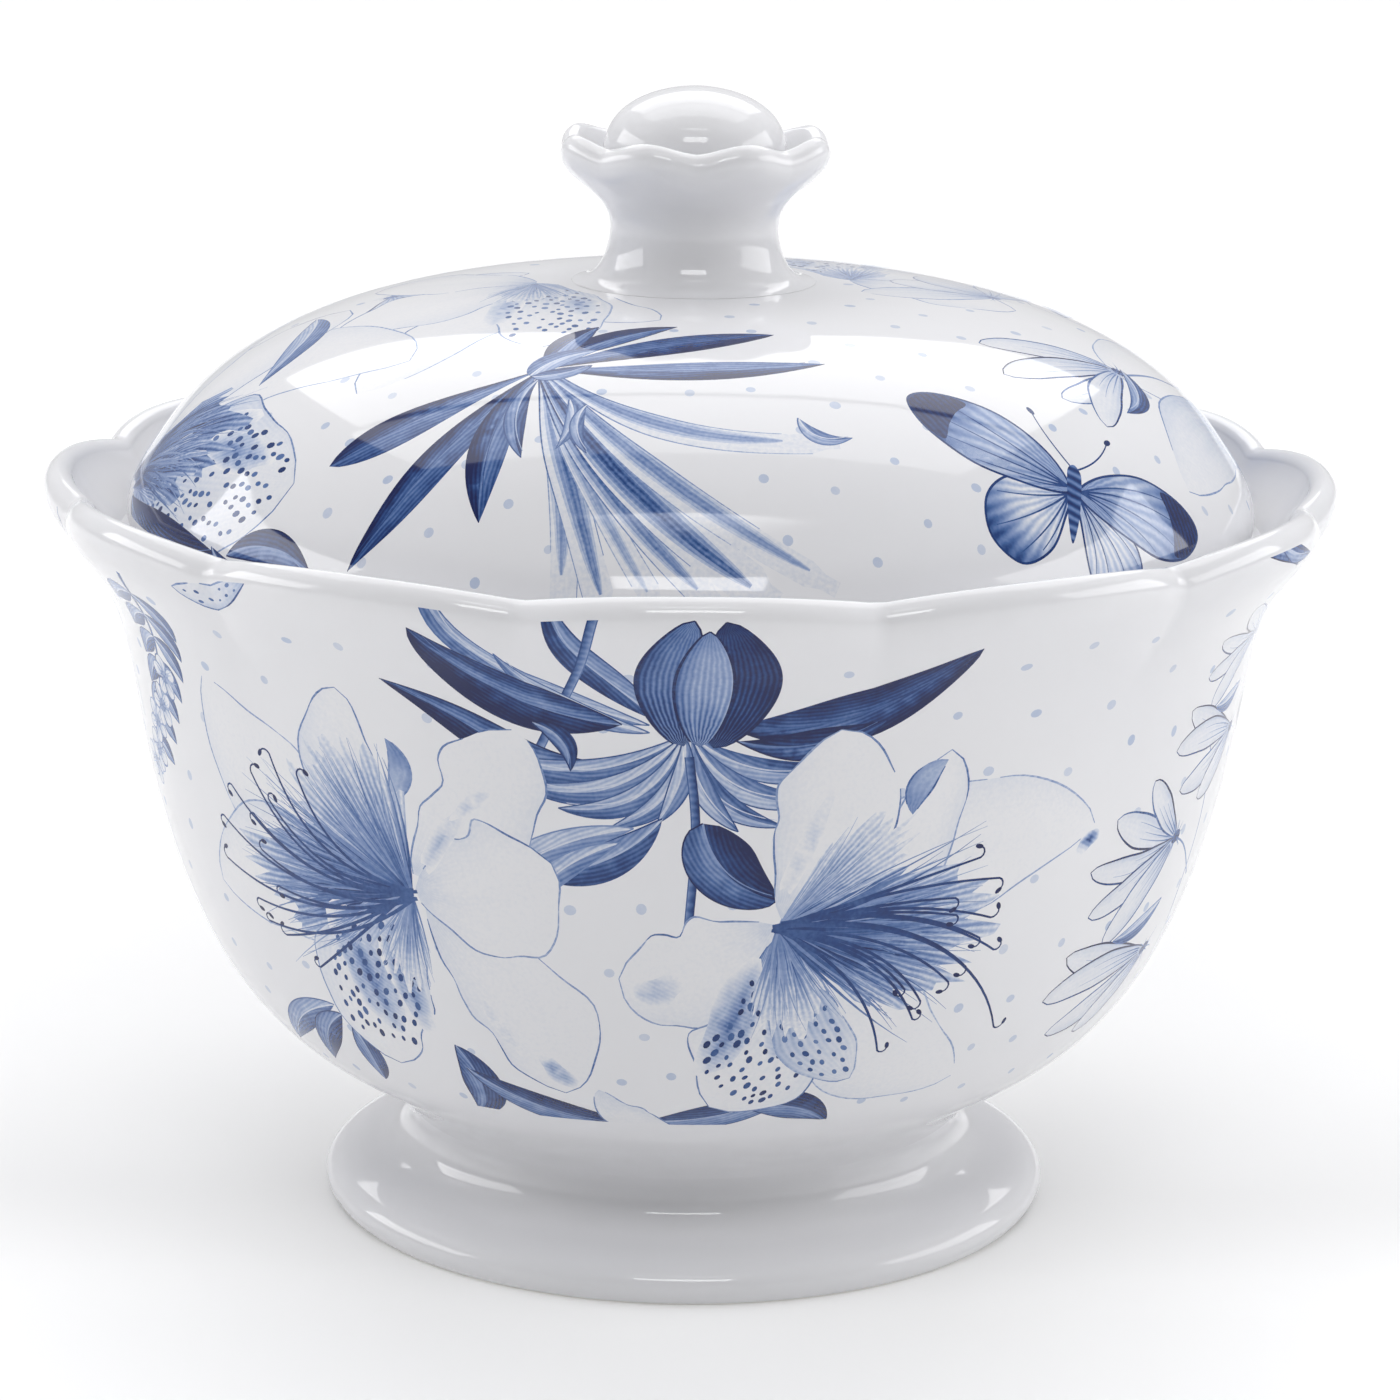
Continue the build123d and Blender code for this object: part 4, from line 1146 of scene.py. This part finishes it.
X_SEAM_MM = math.pi * 52.0
BOWL_SHAPES = bowl_print()
LID_SHAPES = lid_print()
print("shapes", len(BOWL_SHAPES), len(LID_SHAPES), "points", sum(len(s.rings[0]) for s in BOWL_SHAPES), sum(len(s.rings[0]) for s in LID_SHAPES))

# ------------------------------------------------------------------ materials


def glaze(name, decorated, tint=(0.745, 0.745, 0.764), roughness=0.055):
    m = bpy.data.materials.new(name)
    m.use_nodes = True
    nt = m.node_tree
    nodes, links = nt.nodes, nt.links
    p = nodes["Principled BSDF"]
    p.inputs["Roughness"].default_value = roughness
    p.inputs["IOR"].default_value = 1.52
    p.inputs["Specular IOR Level"].default_value = 0.4
    p.inputs["Coat Weight"].default_value = 0.0
    p.inputs["Coat Roughness"].default_value = 0.02
    p.inputs["Coat IOR"].default_value = 1.5
    coords = nodes.new("ShaderNodeTexCoord")
    # porcelain is never quite one white: a broad, faint drift of tone, and fine specks in the glaze
    drift = nodes.new("ShaderNodeTexNoise"); drift.inputs["Scale"].default_value = 22; drift.inputs["Detail"].default_value = 2
    links.new(coords.outputs["Object"], drift.inputs["Vector"])
    white = nodes.new("ShaderNodeValToRGB")
    white.color_ramp.elements[0].position = 0.3
    white.color_ramp.elements[0].color = (tint[0] * 0.975, tint[1] * 0.978, tint[2] * 0.985, 1)
    white.color_ramp.elements[1].position = 0.7
    white.color_ramp.elements[1].color = (tint[0], tint[1], tint[2], 1)
    links.new(drift.outputs["Fac"], white.inputs["Fac"])
    colour = white.outputs["Color"]
    if decorated:
        def attr(n):
            a = nodes.new("ShaderNodeAttribute"); a.attribute_name = n; a.attribute_type = "GEOMETRY"
            return a.outputs["Fac"]

        def math_node(op, a, b=None, c=None, clamp=False):
            q = nodes.new("ShaderNodeMath"); q.operation = op; q.use_clamp = clamp
            for i, x in enumerate((a, b, c)):
                if x is None:
                    continue
                if isinstance(x, (int, float)):
                    q.inputs[i].default_value = x
                else:
                    links.new(x, q.inputs[i])
            return q.outputs[0]
        ink = attr("ink")
        # engraved hatching: fine lines that swell and thin with a little noise
        wob = nodes.new("ShaderNodeTexNoise"); wob.inputs["Scale"].default_value = 260; wob.inputs["Detail"].default_value = 2
        links.new(coords.outputs["Object"], wob.inputs["Vector"])
        phase = math_node("ADD", attr("hatch_line"), math_node("MULTIPLY", math_node("SUBTRACT", wob.outputs["Fac"], 0.5), 0.9))
        wave = math_node("SINE", math_node("MULTIPLY", phase, 2 * math.pi))
        lines = math_node("MULTIPLY", wave, attr("hatch"))
        # stipple and wash: dots of ink of a fine grain, and slow changes of strength
        stip = nodes.new("ShaderNodeTexNoise"); stip.inputs["Scale"].default_value = 2600; stip.inputs["Detail"].default_value = 1
        links.new(coords.outputs["Object"], stip.inputs["Vector"])
        fine = math_node("MULTIPLY", math_node("SUBTRACT", stip.outputs["Fac"], 0.5), attr("grain"))
        wash = nodes.new("ShaderNodeTexNoise"); wash.inputs["Scale"].default_value = 300; wash.inputs["Detail"].default_value = 3
        links.new(coords.outputs["Object"], wash.inputs["Vector"])
        slow = math_node("MULTIPLY", math_node("SUBTRACT", wash.outputs["Fac"], 0.5), math_node("MULTIPLY", ink, 0.34))
        total = math_node("ADD", math_node("ADD", ink, lines), math_node("ADD", fine, slow), clamp=True)
        # the ink's own colours, as light to dark cobalt
        ramp = nodes.new("ShaderNodeValToRGB")
        stops = [(0.0, (1.0, 1.0, 1.0)), (0.08, (0.835, 0.87, 0.935)), (0.2, (0.585, 0.67, 0.84)), (0.35, (0.345, 0.45, 0.69)),
                 (0.5, (0.195, 0.30, 0.565)), (0.65, (0.07, 0.158, 0.40)), (0.8, (0.012, 0.06, 0.24)), (1.0, (0.0, 0.008, 0.09))]
        el = ramp.color_ramp.elements
        while len(el) < len(stops):
            el.new(0.5)
        for e, (pos, c) in zip(el, stops):
            e.position = pos
            e.color = (*c, 1)
        links.new(total, ramp.inputs["Fac"])
        mul = nodes.new("ShaderNodeMix"); mul.data_type = "RGBA"; mul.blend_type = "MULTIPLY"
        mul.inputs["Factor"].default_value = 1.0
        links.new(colour, mul.inputs["A"]); links.new(ramp.outputs["Color"], mul.inputs["B"])
        colour = mul.outputs["Result"]
    links.new(colour, p.inputs["Base Color"])
    # the glaze lies in a very shallow ripple
    ripple = nodes.new("ShaderNodeTexNoise"); ripple.inputs["Scale"].default_value = 75; ripple.inputs["Detail"].default_value = 1.5
    links.new(coords.outputs["Object"], ripple.inputs["Vector"])
    bump = nodes.new("ShaderNodeBump"); bump.inputs["Strength"].default_value = 0.05; bump.inputs["Distance"].default_value = 0.001
    links.new(ripple.outputs["Fac"], bump.inputs["Height"])
    links.new(bump.outputs["Normal"], p.inputs["Normal"])
    links.new(bump.outputs["Normal"], p.inputs["Coat Normal"])
    return m


def biscuit():
    """Bare fired clay, where the glaze is wiped off before firing."""
    m = bpy.data.materials.new("bare_biscuit")
    m.use_nodes = True
    nt = m.node_tree
    p = nt.nodes["Principled BSDF"]
    coords = nt.nodes.new("ShaderNodeTexCoord")
    noise = nt.nodes.new("ShaderNodeTexNoise"); noise.inputs["Scale"].default_value = 1400; noise.inputs["Detail"].default_value = 4
    nt.links.new(coords.outputs["Object"], noise.inputs["Vector"])
    ramp = nt.nodes.new("ShaderNodeValToRGB")
    ramp.color_ramp.elements[0].position = 0.35; ramp.color_ramp.elements[0].color = (0.66, 0.645, 0.61, 1)
    ramp.color_ramp.elements[1].position = 0.65; ramp.color_ramp.elements[1].color = (0.76, 0.75, 0.72, 1)
    nt.links.new(noise.outputs["Fac"], ramp.inputs["Fac"]); nt.links.new(ramp.outputs["Color"], p.inputs["Base Color"])
    rough = nt.nodes.new("ShaderNodeMapRange")
    rough.inputs["To Min"].default_value = 0.62; rough.inputs["To Max"].default_value = 0.8
    nt.links.new(noise.outputs["Fac"], rough.inputs["Value"]); nt.links.new(rough.outputs["Result"], p.inputs["Roughness"])
    bump = nt.nodes.new("ShaderNodeBump"); bump.inputs["Strength"].default_value = 0.25; bump.inputs["Distance"].default_value = 0.0002
    nt.links.new(noise.outputs["Fac"], bump.inputs["Height"]); nt.links.new(bump.outputs["Normal"], p.inputs["Normal"])
    return m


bowl_glaze = glaze("bowl_glaze_printed", True)
lid_glaze = glaze("lid_glaze_printed", True)
plain_glaze = glaze("plain_glaze", False)
bare = biscuit()

# ------------------------------------------------------------------ bowl body
R_PLAN = 52.0           # one radian of the bowl's plan is this many millimetres
X_SEAM = math.pi * R_PLAN


def build_bowl():
    s_rows = rows_for(BOWL, BOWL_S)
    s_rows = s_rows[np.abs(s_rows - BOWL_S_NECK) > 0.4]      # the corner has a ring of its own
    s_max = BOWL_S[-1]
    plan = Plan()
    steiner = []
    seam = []
    for s in s_rows[1:-1]:
        r, _ = on_profile(BOWL, BOWL_S, s)
        n = 240 if r > 24 else 120 if r > 10 else 48
        x = -X_SEAM + 2 * X_SEAM * np.arange(1, n) / n
        steiner.append(np.stack([x, np.full_like(x, s)], 1))
        seam += [(-X_SEAM, s), (X_SEAM, s)]
    # the print's own boundary is a clean line
    xs = -X_SEAM + 2 * X_SEAM * np.arange(0, 241) / 240
    for s in (BOWL_S_NECK, PRINT_LO, PRINT_HI):
        plan.add_ring(np.stack([xs, np.full_like(xs, s)], 1), closed=False)
    plan.add_points(seam)
    first, last = s_rows[1], s_rows[-2]
    for x in (-X_SEAM, X_SEAM):
        side = np.array([(x, s) for s in sorted([q[1] for q in seam if q[0] == x] + [BOWL_S_NECK, PRINT_LO, PRINT_HI])])
        plan.add_ring(side, closed=False)
    v, f, owner = triangulate(plan, BOWL_SHAPES, np.vstack(steiner))
    # close the two ends on the axis
    theta = v[:, 0] / R_PLAN
    P = bowl_point(theta, v[:, 1])
    s_n = np.where(np.abs(v[:, 1] - BOWL_S_NECK) < 0.3, BOWL_S_NECK + 0.3, v[:, 1])
    N = normals_of(bowl_point, theta, s_n, s_max)
    return finish_cdt("bowl_body_glazed", v, f, owner, P, N, BOWL_SHAPES, [bowl_glaze], bowl_point, s_max, first, last)


def finish_cdt(name, v, f, owner, P, N, shapes, materials, point, s_max, first, last, wrap=True, s_of=None, pick=None, ends=(True, True)):
    s_here = v[:, 1] if s_of is None else s_of(v)
    xy = v[f]
    # poles
    verts = [P]; norms = [N]
    n = len(P)
    faces = [f]
    owners = [owner]
    xys = [xy]
    for k, (s_end, s_ring) in enumerate(((0.0, first), (s_max, last))):
        if not ends[k]:
            continue
        ring = np.where(np.abs(s_here - s_ring) < 1e-3)[0]
        th = np.arctan2(P[ring, 0], -P[ring, 1]) if not wrap else v[ring, 0] / R_PLAN
        order = ring[np.argsort(th)]
        pole = point(np.zeros(1), np.array([s_end]))[0]
        verts.append(pole[None]); norms.append(np.array([[0, 0, -1.0 if k == 0 else 1.0]]))
        nxt = np.roll(order, -1)
        if wrap:
            order, nxt = order[:-1], nxt[:-1]
        tri = np.stack([np.full(len(order), n), order, nxt], 1)
        faces.append(tri); owners.append(np.full(len(tri), -1)); xys.append(np.zeros((len(tri), 3, 2)))
        n += 1
    V = np.vstack(verts); Nn = np.vstack(norms); F = np.vstack(faces); O = np.concatenate(owners); XY = np.concatenate(xys)
    if wrap:
        # one vertex where the two edges of the plan meet
        target = np.arange(len(V))
        left = np.where(np.abs(v[:, 0] + X_SEAM) < 1e-3)[0]
        right = np.where(np.abs(v[:, 0] - X_SEAM) < 1e-3)[0]
        left = left[np.argsort(v[left, 1])]
        at = np.clip(np.searchsorted(v[left, 1], v[right, 1]), 1, len(left) - 1)
        near = np.where(np.abs(v[left[at], 1] - v[right, 1]) < np.abs(v[left[at - 1], 1] - v[right, 1]), left[at], left[at - 1])
        close = np.abs(v[near, 1] - v[right, 1]) < 0.02
        target[right[close]] = near[close]
        print("seam", len(left), len(right), "unmatched", int((~close).sum()))
        F = target[F]
    ok = (F[:, 0] != F[:, 1]) & (F[:, 1] != F[:, 2]) & (F[:, 0] != F[:, 2])
    F, O, XY = F[ok], O[ok], XY[ok]
    # consistent facing, outwards
    fn = np.cross(V[F[:, 1]] - V[F[:, 0]], V[F[:, 2]] - V[F[:, 0]])
    mid_n = Nn[F].mean(1)
    agree = np.einsum("ij,ij->i", fn, mid_n)
    if np.sum(agree > 0) < np.sum(agree < 0):
        Nn[:len(P)] *= -1
    F_vol = np.einsum("ij,ij->i", V[F[:, 0]], np.cross(V[F[:, 1]], V[F[:, 2]])).sum()
    used = np.unique(F)
    remap = np.full(len(V), -1); remap[used] = np.arange(len(used))
    F = remap[F]; V = V[used]; Nn = Nn[used]
    # make each face wind as its normal says
    fn = np.cross(V[F[:, 1]] - V[F[:, 0]], V[F[:, 2]] - V[F[:, 0]])
    bad = np.einsum("ij,ij->i", fn, Nn[F].mean(1)) < 0
    F[bad] = F[bad][:, ::-1]; XY[bad] = XY[bad][:, ::-1]
    vol = np.einsum("ij,ij->i", V[F[:, 0]], np.cross(V[F[:, 1]], V[F[:, 2]])).sum()
    if vol < 0:
        F = F[:, ::-1]; XY = XY[:, ::-1]; Nn = -Nn
    fm = None
    if pick is not None:
        fm = pick(V[F].mean(1))
    ob = tri_mesh(name, V, F, None, materials, fm)
    if len(ob.data.polygons) == len(F):
        corner_attributes(ob.data, XY, O, shapes)
    else:
        print("mesh of", name, "lost faces:", len(F), len(ob.data.polygons))
    ob.data.normals_split_custom_set_from_vertices([tuple(n) for n in Nn])
    print(name, "vertices", len(V), "faces", len(F), "volume mm3", round(abs(vol) / 6, 1))
    return ob


bowl = build_bowl()
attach(bowl, "bowl"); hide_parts("bowl_body")

# ------------------------------------------------------------------ lid dome
LID_RHO0 = PAD_R


def build_lid():
    s_rows = rows_for(LID, LID_S)
    s_max = LID_S[-1]
    plan = Plan()
    steiner = []
    rim_rows = [s for s in s_rows if s > 0.6]
    first, last = rim_rows[0], s_rows[-2]
    for s in rim_rows[:-1]:
        r, _ = on_profile(LID, LID_S, s)
        n = 240 if r > 24 else 120 if r > 9 else 48 if r > 3 else 24
        t = 2 * math.pi * np.arange(n) / n
        ring = np.stack([s * np.sin(t), -s * np.cos(t)], 1)
        if s in (first, last):
            plan.add_ring(ring)
        else:
            steiner.append(ring)
    t = 2 * math.pi * np.arange(240) / 240
    plan.add_ring(np.stack([LID_PRINT_HI * np.sin(t), -LID_PRINT_HI * np.cos(t)], 1))
    v, f, owner = triangulate(plan, LID_SHAPES, np.vstack(steiner))
    rho = np.hypot(v[:, 0], v[:, 1])
    theta = np.arctan2(v[:, 0], -v[:, 1])
    c = v[f].mean(1)
    keep = (np.hypot(c[:, 0], c[:, 1]) > first * math.cos(math.pi / 24) - 1e-6) & (np.hypot(c[:, 0], c[:, 1]) < last)
    # nothing is kept inside the first ring: the pole closes it
    inside = np.all(np.abs(rho[f] - first) < 1e-3, axis=1)
    keep &= ~inside
    f, owner = f[keep], owner[keep]
    P = lid_point(theta, rho)
    N = normals_of(lid_point, theta, rho, s_max)
    return finish_cdt("lid_dome_glazed", v, f, owner, P, N, LID_SHAPES, [lid_glaze], lid_point, s_max, first, last,
                      wrap=False, s_of=lambda q: np.hypot(q[:, 0], q[:, 1]))


lid = build_lid()
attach(lid, "lid"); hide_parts("lid_dome")

# ------------------------------------------------------------------ foot, collar and button
foot = ring_mesh("pedestal_foot_glazed", revolved(FOOT), FOOT, 192, [plain_glaze, bare],
                 pick=lambda c: 1 if c[2] < 0.22 else 0)
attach(foot, "bowl"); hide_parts("pedestal_foot")

collar = ring_mesh("knob_collar_glazed", collar_point, COLLAR, 180, [plain_glaze], coarse=0.6, fine=0.1)
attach(collar, "lid"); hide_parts("knob_collar")
button = ring_mesh("knob_button_glazed", revolved(BUTTON), BUTTON, 96, [plain_glaze], coarse=0.5, fine=0.1)
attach(button, "lid"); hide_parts("knob_button")

# ------------------------------------------------------------------ stage, lights and camera


def studio_paper_painted_shade():
    """White paper with painted shade: darker in front, where the camera stands, and darker close to the bowl as a
    painted contact shadow.
    """
    m = bpy.data.materials.new("studio_paper_painted_shade")
    m.use_nodes = True
    nt = m.node_tree
    p = nt.nodes["Principled BSDF"]
    p.inputs["Roughness"].default_value = 0.6
    p.inputs["Specular IOR Level"].default_value = 0.2
    tc = nt.nodes.new("ShaderNodeTexCoord")
    xyz = nt.nodes.new("ShaderNodeSeparateXYZ")
    nt.links.new(tc.outputs["Object"], xyz.inputs[0])
    far = nt.nodes.new("ShaderNodeVectorMath")
    far.operation = "LENGTH"
    nt.links.new(tc.outputs["Object"], far.inputs[0])

    def step(source, lo, hi, a, b):
        q = nt.nodes.new("ShaderNodeMapRange")
        q.interpolation_type = "SMOOTHSTEP"
        q.inputs["From Min"].default_value = lo
        q.inputs["From Max"].default_value = hi
        q.inputs["To Min"].default_value = a
        q.inputs["To Max"].default_value = b
        nt.links.new(source, q.inputs["Value"])
        return q.outputs["Result"]

    def times(a, b):
        q = nt.nodes.new("ShaderNodeMath")
        q.operation = "MULTIPLY"
        nt.links.new(a, q.inputs[0])
        nt.links.new(b, q.inputs[1])
        return q.outputs[0]
    # painted shade: the paper's colour darkens towards the front, which darkens the glaze's reflections there, and
    # darkens close to the bowl as a painted contact shadow
    tone = times(step(xyz.outputs["Y"], -0.50, -0.08, 0.60, 0.86), step(far.outputs["Value"], 0.035, 0.4, 0.84, 1.12))
    nt.links.new(tone, p.inputs["Base Color"])
    # painted light: the paper glows faintly in front of the bowl, as if lit from beside the camera, and the glow fades
    # towards the bowl and stays faint behind it
    own = times(step(xyz.outputs["Y"], -0.20, -0.09, 0.0, 0.23), step(xyz.outputs["Y"], -0.035, 0.0, 1.0, 0.25))
    nt.links.new(own, p.inputs["Emission Strength"])
    p.inputs["Emission Color"].default_value = (1, 1, 1, 1)
    return m


floor_me = bpy.data.meshes.new("studio_floor")
floor_me.from_pydata([(-6, -4, 0), (6, -4, 0), (6, 8, 0), (-6, 8, 0)], [], [(0, 1, 2, 3)])
floor = bpy.data.objects.new("studio_floor", floor_me)
bpy.context.scene.collection.objects.link(floor)
floor_me.materials.append(studio_paper_painted_shade())

scene = bpy.context.scene
scene.view_settings.view_transform = "Standard"
scene.view_settings.look = "None"
world = bpy.data.worlds.new("studio") if scene.world is None else scene.world
scene.world = world
world.use_nodes = True
wt = world.node_tree
bg = wt.nodes["Background"]
where = wt.nodes.new("ShaderNodeTexCoord")


def glow_towards(direction, low, high, dim, bright):
    """Brightness that rises smoothly as a direction nears the one given."""
    lean = wt.nodes.new("ShaderNodeVectorMath")
    lean.operation = "DOT_PRODUCT"
    wt.links.new(where.outputs["Generated"], lean.inputs[0])
    lean.inputs[1].default_value = tuple(Vector(direction).normalized())
    level = wt.nodes.new("ShaderNodeMapRange")
    level.interpolation_type = "SMOOTHSTEP"
    level.inputs["From Min"].default_value = low
    level.inputs["From Max"].default_value = high
    level.inputs["To Min"].default_value = dim
    level.inputs["To Max"].default_value = bright
    wt.links.new(lean.outputs["Value"], level.inputs["Value"])
    return level.outputs["Result"]


# a studio sky: bright overhead and behind, darker behind the camera
total = glow_towards((0.0, 0.6, 0.8), -0.48, 0.90, 0.03, 0.63)
wt.links.new(total, bg.inputs["Strength"])
bg.inputs["Color"].default_value = (0.985, 0.985, 1.0, 1)


def softbox(name, at, aim, size, power, colour=(1, 1, 1)):
    la = bpy.data.lights.new(name, "AREA")
    la.shape = "RECTANGLE"
    la.size, la.size_y = size
    la.energy = power
    la.color = colour
    ob = bpy.data.objects.new(name, la)
    ob.location = at
    ob.rotation_euler = (Vector(aim) - Vector(at)).to_track_quat("-Z", "Y").to_euler()
    scene.collection.objects.link(ob)
    return ob


softbox("wall_left", (-1.0, 0.10, 0.42), (0, 0, 0.07), (0.9, 0.34), 3.6)
softbox("wall_right", (1.0, 0.04, 0.40), (0, 0, 0.07), (0.95, 0.45), 4.2)
softbox("overhead", (0.0, 0.34, 1.1), (0, 0, 0.07), (1.5, 0.5), 4.3)
softbox("front_box", (0.0, -0.80, 0.80), (0, 0, 0.05), (0.5, 0.2), 2.4)
softbox("back_wash", (0.0, 2.6, 2.2), (0, 1.9, 0.0), (3.5, 2.0), 42)
# lights only the paper in front of the bowl: its narrow beam never meets the glaze
front_wash = softbox("front_wash", (0.0, -1.75, 2.2), (0, -1.75, 0.0), (3.5, 1.6), 40)
front_wash.data.spread = math.radians(60)

cam_data = bpy.data.cameras.new("view")
cam_data.sensor_width = 36.0
cam_data.lens = 118.51
cam_data.clip_start = 0.01
cam = bpy.data.objects.new("view", cam_data)
cam.location = (0.00108, -0.440, 0.15834)
pitch, roll = math.radians(13.857), math.radians(0.68)
cam.rotation_euler = (Matrix.Rotation(math.pi / 2 - pitch, 3, "X") @ Matrix.Rotation(roll, 3, "Z")).to_euler()
scene.collection.objects.link(cam)
scene.camera = cam
